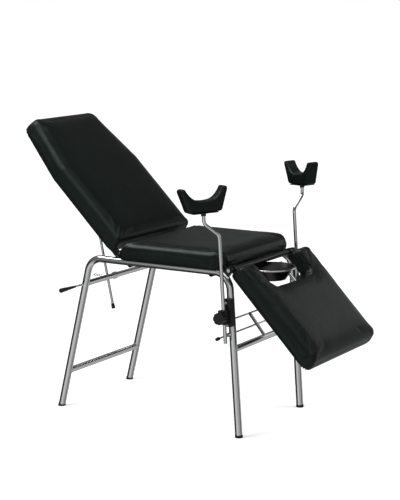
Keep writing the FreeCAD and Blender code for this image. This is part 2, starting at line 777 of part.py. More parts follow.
def release_lever():
    """Build the lever behind the rear leg, its black grip, its pawl and its two guides."""
    run = "mid_run + lever_run"
    inner_end = "stay_side - stay_rod / 2 - lever_gap"
    length = "(%s) + lever_end" % inner_end
    rod = across("lever_rod / 2", length, run, "-lever_end", "lever_height")
    pawl = place(box("pawl_reach", "pawl_width", "lever_rod"), run, "(%s) - pawl_width" % inner_end,
                 "lever_height - lever_rod")
    tube_room = across("upper_cross_tube / 2 + 1", "side_offset", REAR_LEG % "rear_upper_height",
                       "stay_side - side_offset / 2", "rear_upper_height")
    node(cut(fuse(rod, pawl), tube_room), "backrest_release_lever")
    grip = revolved([("0", "0"), ("grip_small / 2", "0"), ("grip_large / 2", "grip_length - grip_small / 2"),
                     ("grip_large / 2 - grip_small / 4", "grip_length"), ("0", "grip_length")])
    place(grip, run, "grip_length + grip_wall - lever_end - grip_wall * 2", "lever_height", X_AXIS, "90")
    room = across("lever_rod / 2", "grip_length * 2", run, "-lever_end", "lever_height")
    node(cut(grip, room), "backrest_release_grip")

    guides = []
    where = REAR_LEG % "rear_upper_height"
    for start in ("-lever_guide_outer", "(%s) - lever_guide_inner" % inner_end):
        eye = across("lever_guide_radius", "lever_guide_width", run, start, "lever_height")
        web = place(box("(%s) - (%s)" % (where, run), "lever_guide_width", "lever_rod * 1.5"), run, start,
                    "lever_height - lever_rod * 0.5")
        tube = across("upper_cross_tube / 2", "side_offset", where, start + " - lever_guide_width",
                      "rear_upper_height")
        bore = across("lever_rod / 2 + running_gap", "lever_guide_width * 3", run, start + " - lever_guide_width",
                      "lever_height")
        guides.append(cut(fuse(eye, web), tube, bore))
    node(group(*guides), "backrest_lever_guides")


def foot_outline(inset):
    """Return the outline of the foot section with its cut-out, drawn in by an inset."""
    start = "foot_start + %s" % inset
    end = "foot_start + foot_length - %s" % inset
    wide = "cushion_half_width - %s" % inset
    mouth = "cutout_half_width + %s" % inset
    reach = "cutout_reach + %s" % inset
    slope = "cutout_corner"
    return [(start, "-(%s)" % wide), (end, "-(%s)" % wide), (end, wide), (start, wide), (start, mouth),
            (reach + " - " + slope, mouth), (reach, mouth + " - " + slope), (reach, "-(%s - %s)" % (mouth, slope)),
            (reach + " - " + slope, "-(%s)" % mouth), (start, "-(%s)" % mouth)]


def foot_section():
    """Build the tilting foot section, its hinge shaft, straps, tube and slotted bracket."""
    board = padded_outline(foot_outline("skirt"), "board_thickness")
    place(board, height="foot_under")
    node(foot_pose(group(board)), "foot_board")
    cushion = soft(foot_outline("0"), "foot_under", "foot_thickness", foot_outline("skirt"), upright)
    node(foot_pose(cushion), "foot_cushion")

    where = "mid_run + foot_pivot_run"
    pivot = "rail_height + foot_pivot_rise"
    half = "side_offset - bracket_thickness / 2 - running_gap * 4"
    shaft = across("foot_shaft / 2", "(%s) * 2" % half, where, "-(%s)" % half, pivot)
    node(shaft, "foot_hinge_shaft")

    straps = []
    for side in ("-strap_side", "strap_side"):
        start = side + " - strap_width / 2"
        eye = across("strap_eye_radius", "strap_width", "0", start, "0")
        arm = place(box("strap_reach", "strap_width", "strap_thickness"), "0", start, "foot_under - strap_thickness")
        hole = across("foot_shaft / 2", "strap_width * 3", "0", start + " - strap_width", "0")
        above = place(box("strap_reach", "strap_width * 3", "foot_thickness"), "foot_start - soft_gap * 2",
                      start + " - strap_width", "foot_under")
        straps.append(cut(fuse(eye, arm), hole, above))
    node(foot_pose(group(*straps)), "foot_hinge_straps")

    brackets = []
    bolts = []
    lean = "rail_height - bend_radius"
    bend_run = "(mid_run + front_foot_run - tan(front_splay) * rail_height"
    bend_run += " - bend_radius * tan(45 - front_splay / 2))"
    rise = "(%s - (%s))" % (pivot, lean)
    span = "(%s - %s)" % (where, bend_run)
    for side in ("-side_offset", "side_offset"):
        start = side + " - bracket_thickness / 2"
        eye = across("bracket_radius", "bracket_thickness", where, start, pivot)
        web = place(box("bracket_radius * 2", "bracket_thickness", "sqrt(%s^2 + %s^2) - bend_radius" % (rise, span)),
                    "-bracket_radius", "-bracket_thickness / 2", "bend_radius")
        web = place(group(web), bend_run, side, lean, Y_AXIS, "atan(%s / %s)" % (span, rise))
        hole = across("pivot_bolt / 2 + running_gap", "bracket_thickness * 3", where, start + " - bracket_thickness",
                      pivot)
        torus = put(doc.addObject("Part::Torus", "Torus"), Radius1="bend_radius", Radius2=TUBE_RADIUS)
        place(torus, bend_run, side, lean, X_AXIS, "90")
        brackets.append(cut(fuse(eye, web), torus, hole))
        out = "bracket_thickness + running_gap * 8"
        near = side.startswith("-")
        shank = "side_offset - bracket_thickness / 2 - running_gap * 4"
        shank_start = "-(%s) - (%s)" % (shank, out) if near else shank
        bolt = across("pivot_bolt / 2", out, where, shank_start, pivot)
        head_start = shank_start + " - bolt_head_height" if near else "(%s) + (%s)" % (shank, out)
        bolts.append(fuse(bolt, across("bolt_head / 2", "bolt_head_height", where, head_start, pivot)))
    node(group(*brackets), "foot_hinge_brackets")
    node(group(*bolts), "foot_hinge_bolts")

    axis = "foot_under - foot_tube / 2"
    points = [("foot_tube_start", "-foot_tube_side"), ("foot_tube_reach", "-foot_tube_side"),
              ("foot_tube_reach", "foot_tube_side"), ("foot_tube_start", "foot_tube_side")]
    bow = bent_tube(points, "foot_tube_bend", "foot_tube / 2", "foot_tube / 2 - tube_wall", "XY_Plane")
    place(bow, height=axis)
    node(foot_pose(group(bow)), "foot_tube")

    plates = []
    gap = "strut_eye_width / 2 + soft_gap"
    bottom = "-strut_mount_drop - strut_eye_radius"
    reach = "strut_slot_back + strut_slot_front + strut_slot_width"
    left = "strut_mount_reach - strut_slot_back - strut_slot_width / 2 - clevis_plate"
    for start in ("strut_side - (%s) - clevis_plate" % gap, "strut_side + %s" % gap):
        plates.append(place(box(reach + " + clevis_plate * 2", "clevis_plate", "foot_under - (%s)" % bottom), left,
                            start, bottom + " - clevis_plate / 2"))
    leaf = place(box(reach + " + clevis_plate * 2", "strut_eye_width * 4", "clevis_plate"), left,
                 "strut_side - strut_eye_width * 2", "foot_under - clevis_plate")
    slot = place(box("strut_slot_back + strut_slot_front", "strut_eye_width * 5", "strut_slot_width"),
                 "strut_mount_reach - strut_slot_back", "strut_side - strut_eye_width * 2.5",
                 "-strut_mount_drop - strut_slot_width / 2")
    rounds = []
    for end in ("strut_mount_reach - strut_slot_back", "strut_mount_reach + strut_slot_front"):
        rounds.append(across("strut_slot_width / 2", "strut_eye_width * 5", end, "strut_side - strut_eye_width * 2.5",
                             "-strut_mount_drop"))
    node(foot_pose(cut(fuse(leaf, *plates), slot, *rounds)), "strut_bracket")


def strut_pose(shape, along):
    """Set a shape drawn along Z on the strut, at a distance above its lower pin."""
    run = "%s + sin(%s) * (%s)" % (STRUT_FOOT_RUN, STRUT_LEAN, along)
    height = "%s + cos(%s) * (%s)" % (STRUT_FOOT_HEIGHT, STRUT_LEAN, along)
    return place(shape, run, "strut_side", height, Y_AXIS, STRUT_LEAN)


STRUT_FOOT_RUN = "(" + FRONT_LEG % "front_lower_height" + " - strut_foot_back)"
STRUT_FOOT_HEIGHT = "(front_lower_height + strut_foot_rise)"
STRUT_TOP_RUN = "(mid_run + foot_pivot_run + cos(foot_tilt) * strut_mount_reach - sin(foot_tilt) * strut_mount_drop)"
STRUT_TOP_HEIGHT = ("(rail_height + foot_pivot_rise - sin(foot_tilt) * strut_mount_reach"
                    " - cos(foot_tilt) * strut_mount_drop)")
STRUT_SPAN = "(%s - %s)" % (STRUT_TOP_RUN, STRUT_FOOT_RUN)
STRUT_RISE = "(%s - %s)" % (STRUT_TOP_HEIGHT, STRUT_FOOT_HEIGHT)
STRUT_LEAN = "atan(%s / %s)" % (STRUT_SPAN, STRUT_RISE)
STRUT_LENGTH = "sqrt(%s^2 + %s^2)" % (STRUT_SPAN, STRUT_RISE)


def foot_strut():
    """Build the telescopic strut between the lower cross tube and the foot section."""
    foot_run = STRUT_FOOT_RUN
    side = "strut_side - strut_eye_width / 2"
    outer = strut_pose(cylinder("strut_tube / 2", "%s - strut_tube_play - strut_eye_radius * 1.2" % STRUT_LENGTH),
                       "strut_eye_radius * 1.2")
    bore = strut_pose(cylinder("strut_bore / 2", STRUT_LENGTH), "strut_eye_radius * 2")
    eye = across("strut_eye_radius", "strut_eye_width", foot_run, side, STRUT_FOOT_HEIGHT)
    neck = strut_pose(cylinder("strut_eye_width * 0.45", "strut_eye_radius * 1.5"), "0")
    hole = across("strut_pin / 2 + running_gap", "strut_eye_width * 2", foot_run, side + " - strut_eye_width / 2",
                  STRUT_FOOT_HEIGHT)
    node(cut(fuse(cut(outer, bore), eye, neck), hole), "strut_outer_tube")

    rod_length = "%s - strut_rod_play - strut_eye_radius / 2" % STRUT_LENGTH
    rod = strut_pose(cylinder("strut_bore / 2 - running_gap", rod_length), "strut_rod_play")
    top_run = STRUT_TOP_RUN
    top_eye = across("strut_eye_radius", "strut_eye_width", top_run, side, STRUT_TOP_HEIGHT)
    pin_length = "strut_eye_width + clevis_plate * 2 + soft_gap * 2 + 8"
    top_hole = across("strut_pin / 2", "strut_eye_width * 2", top_run, side + " - strut_eye_width / 2",
                      STRUT_TOP_HEIGHT)
    node(cut(fuse(rod, top_eye), top_hole), "strut_rod")
    node(across("strut_pin / 2", pin_length, top_run, "strut_side - (%s) / 2" % pin_length, STRUT_TOP_HEIGHT),
         "strut_top_pin")

    where = FRONT_LEG % "front_lower_height"
    plates = []
    gap = "strut_eye_width / 2 + soft_gap"
    for start in ("strut_side - (%s) - clevis_plate" % gap, "strut_side + %s" % gap):
        eye = across("strut_eye_radius", "clevis_plate", foot_run, start, STRUT_FOOT_HEIGHT)
        web = place(box("strut_eye_radius * 2", "clevis_plate", "strut_foot_rise"),
                    foot_run + " - strut_eye_radius", start, "front_lower_height")
        tube = across("lower_cross_tube / 2", "side_offset", where, "strut_side - side_offset / 2",
                      "front_lower_height")
        bore = across("strut_pin / 2", "clevis_plate * 3", foot_run, start + " - clevis_plate", STRUT_FOOT_HEIGHT)
        plates.append(cut(fuse(eye, web), tube, bore))
    node(group(*plates), "strut_lugs")
    node(across("strut_pin / 2", pin_length, foot_run, "strut_side - (%s) / 2" % pin_length, STRUT_FOOT_HEIGHT),
         "strut_lower_pin")


def foot_release():
    """Build the release rod that passes through both front legs, with its cap and cam."""
    run = "mid_run + release_run"
    rod = across("release_rod / 2", "release_near_end + release_far_end", run, "-release_near_end", "release_height")
    node(rod, "foot_release_rod")
    cap = revolved([("0", "0"), ("release_cap / 2", "0"), ("release_cap / 2", "release_cap_length - 3"),
                    ("release_cap / 2 - 3", "release_cap_length"), ("0", "release_cap_length")])
    place(cap, run, "release_cap_length - release_near_end - 3", "release_height", X_AXIS, "90")
    room = across("release_rod / 2", "release_cap_length * 2", run, "-release_near_end", "release_height")
    node(cut(cap, room), "foot_release_cap")
    guides = []
    for start, height in (("-side_offset - clevis_plate", "release_height"), ("release_guide_far", "front_lower_height")):
        where = FRONT_LEG % height
        eye = across("release_guide_eye", "clevis_plate * 2", run, start, "release_height")
        if height == "release_height":
            web = place(box("(%s) - (%s)" % (where, run), "clevis_plate * 2", "release_rod"), run, start,
                        "release_height - release_rod / 2")
            steel = leg_cutter(FRONT_LEG, "-side_offset", "-front_splay")
        else:
            web = place(box("(%s) - (%s) + release_guide_eye" % (where, run), "clevis_plate * 2",
                            "release_height - front_lower_height"), run + " - release_guide_eye", start,
                        "front_lower_height")
            steel = across("lower_cross_tube / 2", "side_offset", where, start + " - side_offset / 2",
                           "front_lower_height")
        bore = across("release_rod / 2 + running_gap", "clevis_plate * 6", run, start + " - clevis_plate",
                      "release_height")
        guides.append(cut(fuse(eye, web), steel, bore))
    node(group(*guides), "foot_release_guides")


def basin():
    """Build the round basin and the wire ring that hangs it from the seat's front tube."""
    wall = "basin_wall"
    profile = [("0", "0"), ("basin_base_radius", "0"), ("basin_radius - 3", "basin_depth - 3"),
               ("basin_radius + 4", "basin_depth - 3"), ("basin_radius + 4", "basin_depth - 3 + " + wall),
               ("basin_radius - 3 - " + wall, "basin_depth - 3 + " + wall),
               ("basin_base_radius - " + wall, wall), ("0", wall)]
    rim = "(rail_height - basin_drop)"
    bowl = revolved(profile)
    node(place(bowl, "mid_run + basin_run", height=rim + " - basin_depth + 3"), "basin")
    ring = put(doc.addObject("Part::Torus", "Torus"), Radius1="basin_radius + basin_ring_wire / 2",
               Radius2="basin_ring_wire / 2")
    place(ring, "mid_run + basin_run", height=rim + " - basin_ring_wire / 2")
    arms = []
    start = "mid_run + seat_cross_front_run"
    for side in ("-basin_arm_side", "basin_arm_side"):
        arm = cylinder("basin_ring_wire / 2", "basin_run - seat_cross_front_run - basin_arm_short")
        arms.append(place(arm, start, side, rim + " - basin_ring_wire / 2", Y_AXIS, "90"))
    tube = across("seat_cross_tube / 2", "side_offset * 2", start, "-side_offset", "rail_height - seat_cross_drop")
    node(cut(fuse(ring, *arms), tube), "basin_ring")


def on_leg(shape, side, along, forward="0"):
    """Set a shape drawn upright on a front leg, at a height and a step towards the foot end."""
    turn = "-front_splay"
    run = FRONT_LEG % along + " + cos(front_splay) * (%s)" % forward
    return place(shape, run, side, along, Y_AXIS, turn)


def outward(away, start, end):
    """Return start and length along Y of a span measured outwards from a leg."""
    return (start if away > 0 else "-(%s)" % end), "(%s) - (%s)" % (end, start)


def holder_clamp(name, away, side):
    """Build the clamp on a front leg, its bush, its star knob, and return its two bolt heads."""
    offset = "holder_offset" if away > 0 else "-holder_offset"
    body_start, body_width = outward(away, "0", "clamp_body_outer")
    body = place(box("clamp_width", body_width, "clamp_length"), "-clamp_width / 2", body_start, "-clamp_length / 2")
    boss_low = "knob_height - clamp_boss_height / 2"
    boss_start, boss_width = outward(away, "0", "clamp_outer")
    boss = place(box("clamp_width", boss_width, "clamp_boss_height"), "holder_back - clamp_width / 2", boss_start,
                 boss_low)
    leg_room = place(cylinder(TUBE_RADIUS, "clamp_length * 2"), height="-clamp_length")
    bush_radius = "holder_rod / 2 + running_gap + bush_wall"
    bush_room = place(cylinder(bush_radius + " + running_gap", "clamp_length * 2"), "holder_back", offset,
                      "-clamp_length")
    room_start, room_length = outward(away, "holder_offset", "clamp_outer + knob_gap")
    stem_room = across("knob_stem / 2 + running_gap", room_length, "holder_back", room_start, "knob_height")
    clamp = cut(fuse(body, boss), leg_room, bush_room, stem_room)
    node(on_leg(clamp, side, "clamp_height"), "holder_clamp_" + name)

    sleeve = place(cylinder(bush_radius, "clamp_boss_height"), "holder_back", offset, boss_low)
    bore = place(cylinder("holder_rod / 2 + running_gap", "clamp_length * 2"), "holder_back", offset, "-clamp_length")
    node(on_leg(cut(sleeve, bore), side, "clamp_height"), "holder_bush_" + name)

    knob_start, knob_width = outward(away, "clamp_outer + knob_gap", "clamp_outer + knob_gap + knob_thickness")
    disc = across("knob_diameter / 2", knob_width, "0", knob_start, "0")
    flutes = []
    reach = "(knob_diameter / 2 + knob_flute * 0.3)"
    for index in range(int(amount("knob_lobes"))):
        turn = "360 / knob_lobes * %d" % index
        flutes.append(across("knob_flute / 2", "knob_thickness * 3", "%s * cos(%s)" % (reach, turn),
                             knob_start + " - knob_thickness", "%s * sin(%s)" % (reach, turn)))
    star = place(cut(disc, *flutes), "holder_back", height="knob_height")
    stem_start, stem_length = outward(away, "holder_offset + running_gap + " + bush_radius, "clamp_outer + knob_gap")
    stem = across("knob_stem / 2", stem_length, "holder_back", stem_start, "knob_height")
    node(on_leg(fuse(star, stem), side, "clamp_height"), "holder_knob_" + name)

    heads = []
    head_start, head_width = outward(away, "clamp_body_outer", "clamp_body_outer + bolt_head_height")
    for height in ("clamp_bolt_top", "clamp_bolt_low"):
        heads.append(across("clamp_bolt_head / 2", head_width, "0", head_start, height))
    return on_leg(group(*heads), side, "clamp_height")


def leg_holder(name, away):
    """Build one leg holder and return the bolt heads of its clamp."""
    side = "side_offset" if away > 0 else "-side_offset"
    heads = holder_clamp(name, away, side)
    offset = "holder_offset" if away > 0 else "-holder_offset"
    bend = "holder_bend_" + name
    throw = "holder_throw_" + name
    turn = "holder_turn_" + name
    facing = "pad_yaw_" + name
    top = bend + " + holder_step + holder_neck"
    points = [("0", "-holder_below"), ("0", bend), (throw, bend + " + holder_step"), (throw, top)]
    rod = bent_tube(points, "holder_bend_radius", "holder_rod / 2", None)
    place(rod, "holder_back", offset, "0", Z_AXIS, turn)
    node(on_leg(group(rod), side, "clamp_height"), "holder_rod_" + name)

    run = "holder_back + %s * cos(%s)" % (throw, turn)
    across_text = "%s + %s * sin(%s)" % (offset, throw, turn)
    socket = place(cylinder("pad_socket_radius", "pad_socket_length"), height="pad_socket_rise - pad_socket_length")
    room = place(cylinder("holder_rod / 2 + running_gap", "pad_socket_length"), height="-pad_socket_length")
    plate = place(box("pad_half_base * 1.5", "pad_depth * 0.7", "pad_plate"), "-pad_half_base * 0.75",
                  "-pad_depth * 0.35", "pad_socket_rise")
    base = place(cut(fuse(socket, plate), room), run, across_text, top, Z_AXIS, facing)
    node(on_leg(group(base), side, "clamp_height"), "holder_socket_" + name)
    trough = place(pad_body(), run, across_text, top + " + pad_socket_rise + pad_plate", Z_AXIS, facing)
    node(on_leg(group(trough), side, "clamp_height"), "holder_pad_" + name)
    return heads


def pad_body():
    """Return the padded trough that carries a leg: a block with two raised sides."""
    half = "pad_half_top"
    tip = "pad_tip"
    flank = "pad_half_base * 0.45"
    points = [("-pad_half_base", "0"), ("pad_half_base", "0"), (half, "pad_height - " + tip),
              (half + " - %s * 0.3" % tip, "pad_height"), (half + " - " + tip, "pad_height"),
              (flank, "pad_height - pad_valley"), ("0", "pad_height - pad_valley * 1.12"),
              ("-" + flank, "pad_height - pad_valley"), ("-(%s - %s)" % (half, tip), "pad_height"),
              ("-(%s - %s * 0.3)" % (half, tip), "pad_height"), ("-(%s)" % half, "pad_height - " + tip)]
    block = padded_outline(points, "pad_depth", "XZ_Plane", True)
    half_depth = amount("pad_depth") / 2
    return rounded(block, lambda middle, way: abs(abs(middle.y) - half_depth) < 0.01, "pad_round")


def write_parts():
    """Check every sub-part and write one STEP file for each."""
    doc.recompute()
    os.makedirs("parts", exist_ok=True)
    broken = []
    for item in doc.Objects:
        if "Invalid" in item.State or "Error" in item.State:
            broken.append("%s (%s)" % (item.Name, item.Label))
    if broken:
        raise RuntimeError("these did not build: " + ", ".join(broken))
    for item, name in PARTS:
        shape = item.Shape
        if shape.isNull() or not shape.isValid() or not shape.Solids:
            raise RuntimeError("%s has no valid solid" % name)
        print("%-30s %2d solids %10.0f mm3" % (name, len(shape.Solids), shape.Volume))
        shape.exportStep(os.path.join("parts", name + ".step"))


frame()
front_rod_and_brace()
seat()
backrest()
backrest_stay()
release_lever()
foot_section()
foot_strut()
foot_release()
basin()
node(group(leg_holder("near", -1), leg_holder("far", 1)), "holder_clamp_bolts")
write_parts()
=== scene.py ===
import json
import logging
import math
from dataclasses import dataclass, field
from enum import Enum
from typing import Dict, List, Sequence, Tuple, Union

import bmesh
import bpy
import numpy as np
from mathutils import Matrix, Vector


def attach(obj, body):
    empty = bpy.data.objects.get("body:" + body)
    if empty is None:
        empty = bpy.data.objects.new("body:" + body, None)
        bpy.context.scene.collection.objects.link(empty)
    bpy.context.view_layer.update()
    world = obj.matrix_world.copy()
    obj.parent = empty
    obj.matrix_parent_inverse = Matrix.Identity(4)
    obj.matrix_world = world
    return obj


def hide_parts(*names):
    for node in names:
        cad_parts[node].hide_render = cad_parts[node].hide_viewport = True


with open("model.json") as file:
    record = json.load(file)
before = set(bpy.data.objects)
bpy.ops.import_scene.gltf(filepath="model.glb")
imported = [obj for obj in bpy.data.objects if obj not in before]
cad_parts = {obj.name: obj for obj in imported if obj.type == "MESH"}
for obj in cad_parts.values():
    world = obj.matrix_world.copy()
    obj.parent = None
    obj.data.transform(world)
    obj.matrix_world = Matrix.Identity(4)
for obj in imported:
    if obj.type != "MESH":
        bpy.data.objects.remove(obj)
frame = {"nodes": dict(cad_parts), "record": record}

LOG = logging.getLogger("couch")
Point2 = Tuple[float, float]
Point3 = Tuple[float, float, float]
EditMesh = bmesh.types.BMesh
Material = bpy.types.Material
Piece = bpy.types.Object
Tree = bpy.types.NodeTree
Socket = bpy.types.NodeSocket
Value = Union[Socket, float]
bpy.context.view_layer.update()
TO_METRES = 0.001

# The middle of the four feet in the frame, and the legs as run at the floor and lean in degrees.
# The legs and the cushions are in millimetres.
MIDDLE = Matrix.Translation((-0.0841, 0.0116, 0.0))
REAR_LEG = (-481.0, 14.7)
FRONT_LEG = (481.0, -3.5)
LEG_OFFSET = 272.0
LEG_RADIUS = 16.0
HALF_WIDTH = 298.0
SMALL_CORNER = 22.0


class Side(Enum):
    """The two long sides of the couch: the near one faces the camera."""

    NEAR = -1
    FAR = 1


# Finishes


@dataclass(frozen=True)
class Vinyl:
    """Black upholstery vinyl with a fine grain and a soft sheen.

    Attributes:
        name: material name.
        colour: linear base colour.
        roughness: mean roughness of the surface.
        grain_scale: grain cells per metre.
        grain_height: height of the grain in metres.
        crease_scale: size of the soft creases, per metre.
        crease_height: height of the soft creases in metres.
        sheen: strength of the reflections.
        tint: colour of the reflections.
    """

    name: str = "vinyl"
    colour: Point3 = (0.0038, 0.0064, 0.0054)
    roughness: float = 0.34
    grain_scale: float = 520.0
    grain_height: float = 0.00012
    crease_scale: float = 16.0
    crease_height: float = 0.0012
    sheen: float = 0.32
    tint: Point3 = (0.84, 1.0, 0.92)

    def build(self) -> Material:
        """Make the material.

        Returns:
            The finished material.
        """
        values = {"Colour": (*self.colour, 1.0), "Roughness": self.roughness, "Grain Scale": self.grain_scale,
                  "Grain Height": self.grain_height, "Crease Scale": self.crease_scale,
                  "Crease Height": self.crease_height}
        material, shader = grouped_material(self.name, vinyl_group(), values)
        shader.inputs["Specular IOR Level"].default_value = self.sheen
        shader.inputs["Specular Tint"].default_value = (*self.tint, 1.0)
        return material


@dataclass(frozen=True)
class Moulded:
    """Moulded plastic, rubber, lining board, or the black finish of some metal parts.

    Attributes:
        name: material name.
        colour: linear base colour.
        roughness: lowest roughness.
        texture_scale: size of the surface texture, per metre.
        texture_height: height of the surface texture in metres, 0 for none.
        variation: share by which the colour varies.
        roughness_range: how much the roughness rises in smudges.
        metallic: 1 for metal.
    """

    name: str
    colour: Point3
    roughness: float
    texture_scale: float = 700.0
    texture_height: float = 0.00004
    variation: float = 0.15
    roughness_range: float = 0.1
    metallic: float = 0.0

    def build(self) -> Material:
        """Make the material.

        Returns:
            The finished material.
        """
        values = {"Colour": (*self.colour, 1.0), "Variation": self.variation, "Roughness": self.roughness,
                  "Roughness Range": self.roughness_range, "Scale": self.texture_scale,
                  "Height": self.texture_height}
        relief = self.texture_height > 0.0
        material, shader = grouped_material(self.name, surface_group(), values, relief)
        shader.inputs["Metallic"].default_value = self.metallic
        return material


@dataclass(frozen=True)
class Metal(Moulded):
    """A bright or brushed metal with faint smudges."""

    texture_scale: float = 22.0
    texture_height: float = 0.0
    variation: float = 0.06
    roughness_range: float = 0.05
    metallic: float = 1.0


def new_material(name: str) -> Tuple[Material, bpy.types.Node]:
    """Make an empty node material.

    Args:
        name: material name.

    Returns:
        The material and its shader.
    """
    material = bpy.data.materials.new(name)
    material.use_nodes = True
    return material, next(node for node in material.node_tree.nodes if node.type == "BSDF_PRINCIPLED")


def grouped_material(name: str, group: Tree, values: Dict[str, object],
                     relief: bool = True) -> Tuple[Material, bpy.types.Node]:
    """Make a material whose colour, roughness and relief come from a shared group.

    Args:
        name: material name.
        group: the shared group.
        values: the group's inputs in this material.
        relief: whether the group's relief shows.

    Returns:
        The material and its shader.
    """
    material, shader = new_material(name)
    tree = material.node_tree
    source = tree.nodes.new("ShaderNodeGroup")
    source.node_tree = group
    for socket, value in values.items():
        source.inputs[socket].default_value = value
    for socket in ("Base Color", "Roughness"):
        tree.links.new(source.outputs[socket], shader.inputs[socket])
    if relief:
        bump = tree.nodes.new("ShaderNodeBump")
        bump.inputs["Distance"].default_value = 1.0
        tree.links.new(source.outputs["Bump Height"], bump.inputs["Height"])
        tree.links.new(bump.outputs["Normal"], shader.inputs["Normal"])
    return material, shader


def new_group(name: str, numbers: Sequence[str]) -> Tree:
    """Make a surface's node group, which has a colour and some numbers as inputs.

    Args:
        name: group name.
        numbers: names of the number inputs.

    Returns:
        The group's tree, with its input and output nodes.
    """
    tree = bpy.data.node_groups.new(name, "ShaderNodeTree")
    tree.interface.new_socket("Colour", in_out="INPUT", socket_type="NodeSocketColor")
    for number in numbers:
        tree.interface.new_socket(number, in_out="INPUT", socket_type="NodeSocketFloat")
    tree.interface.new_socket("Base Color", in_out="OUTPUT", socket_type="NodeSocketColor")
    for number in ("Roughness", "Bump Height"):
        tree.interface.new_socket(number, in_out="OUTPUT", socket_type="NodeSocketFloat")
    tree.nodes.new("NodeGroupInput")
    tree.nodes.new("NodeGroupOutput")
    return tree


def math_node(tree: Tree, operation: str, first: Value, second: Value) -> Socket:
    """Add a math node.

    Args:
        tree: the tree that gets the node.
        operation: the math operation.
        first: a socket or a number.
        second: a socket or a number.

    Returns:
        The node's output.
    """
    node = tree.nodes.new("ShaderNodeMath")
    node.operation = operation
    for socket, value in zip(node.inputs, (first, second)):
        if isinstance(value, Socket):
            tree.links.new(value, socket)
        else:
            socket.default_value = value
    return node.outputs[0]


def noise(tree: Tree, scale: Value, detail: float) -> Socket:
    """Add a noise texture in object space.

    Args:
        tree: the tree that gets the node.
        scale: a socket or a number.
        detail: number of octaves.

    Returns:
        The noise's factor.
    """
    place = tree.nodes.new("ShaderNodeTexCoord")
    node = tree.nodes.new("ShaderNodeTexNoise")
    node.inputs["Detail"].default_value = detail
    tree.links.new(place.outputs["Object"], node.inputs["Vector"])
    if isinstance(scale, Socket):
        tree.links.new(scale, node.inputs["Scale"])
    else:
        node.inputs["Scale"].default_value = scale
    return node.outputs[0]


def vary(tree: Tree, colour: Socket, amount: Value, factor: Socket) -> Socket:
    """Scale a colour by one plus a share of a factor around its middle.

    Args:
        tree: the tree that gets the nodes.
        colour: the colour to vary.
        amount: the share, a socket or a number.
        factor: a factor from 0 to 1.

    Returns:
        The varied colour.
    """
    centred = math_node(tree, "SUBTRACT", factor, 0.5)
    swing = math_node(tree, "MULTIPLY", centred, amount)
    gain = math_node(tree, "ADD", swing, 1.0)
    scale = tree.nodes.new("ShaderNodeVectorMath")
    scale.operation = "SCALE"
    tree.links.new(colour, scale.inputs[0])
    tree.links.new(gain, scale.inputs["Scale"])
    return scale.outputs[0]


def map_range(tree: Tree, value: Socket, span: Point2, levels: Point2 = (0.0, 1.0),
              smooth: bool = False) -> Socket:
    """Map a value from one span to another and hold it at the ends.

    Args:
        tree: the tree that gets the node.
        value: the value.
        span: the value's own span.
        levels: the levels at the span's ends.
        smooth: whether the ends are eased.

    Returns:
        The mapped value.
    """
    node = tree.nodes.new("ShaderNodeMapRange")
    if smooth:
        node.interpolation_type = "SMOOTHSTEP"
    for socket, number in zip(("From Min", "From Max", "To Min", "To Max"), (*span, *levels)):
        node.inputs[socket].default_value = number
    tree.links.new(value, node.inputs["Value"])
    return node.outputs["Result"]


def vinyl_group() -> Tree:
    """Return the shared vinyl group: grain cells, soft creases and a slight bloom.

    Returns:
        The group's tree.
    """
    found = bpy.data.node_groups.get("VinylGrain")
    if found:
        return found
    tree = new_group("VinylGrain", ("Roughness", "Grain Scale", "Grain Height", "Crease Scale",
                                    "Crease Height"))
    entry = tree.nodes["Group Input"].outputs
    leave = tree.nodes["Group Output"].inputs
    place = tree.nodes.new("ShaderNodeTexCoord")
    cells = tree.nodes.new("ShaderNodeTexVoronoi")
    cells.feature = "DISTANCE_TO_EDGE"
    tree.links.new(place.outputs["Object"], cells.inputs["Vector"])
    tree.links.new(entry["Grain Scale"], cells.inputs["Scale"])
    grain = math_node(tree, "MINIMUM", cells.outputs[0], 0.25)
    grain = math_node(tree, "MULTIPLY", grain, 4.0)
    crease = noise(tree, entry["Crease Scale"], 3.0)
    height = math_node(tree, "ADD", math_node(tree, "MULTIPLY", grain, entry["Grain Height"]),
                       math_node(tree, "MULTIPLY", crease, entry["Crease Height"]))
    bloom = noise(tree, 6.0, 2.0)
    tree.links.new(vary(tree, entry["Colour"], 0.5, bloom), leave["Base Color"])
    sheen = math_node(tree, "MULTIPLY", math_node(tree, "SUBTRACT", bloom, 0.5), 0.16)
    tree.links.new(math_node(tree, "ADD", entry["Roughness"], sheen), leave["Roughness"])
    tree.links.new(height, leave["Bump Height"])
    return tree


def surface_group() -> Tree:
    """Return the shared group for hard surfaces: colour and roughness variation, and a fine relief.

    Returns:
        The group's tree.
    """
    found = bpy.data.node_groups.get("HardSurface")
    if found:
        return found
    tree = new_group("HardSurface", ("Variation", "Roughness", "Roughness Range", "Scale", "Height"))
    entry = tree.nodes["Group Input"].outputs
    leave = tree.nodes["Group Output"].inputs
    fine = noise(tree, entry["Scale"], 3.0)
    broad = noise(tree, 9.0, 3.0)
    tree.links.new(vary(tree, entry["Colour"], entry["Variation"], broad), leave["Base Color"])
    spread = math_node(tree, "MULTIPLY", broad, entry["Roughness Range"])
    tree.links.new(math_node(tree, "ADD", entry["Roughness"], spread), leave["Roughness"])
    tree.links.new(math_node(tree, "MULTIPLY", fine, entry["Height"]), leave["Bump Height"])
    return tree


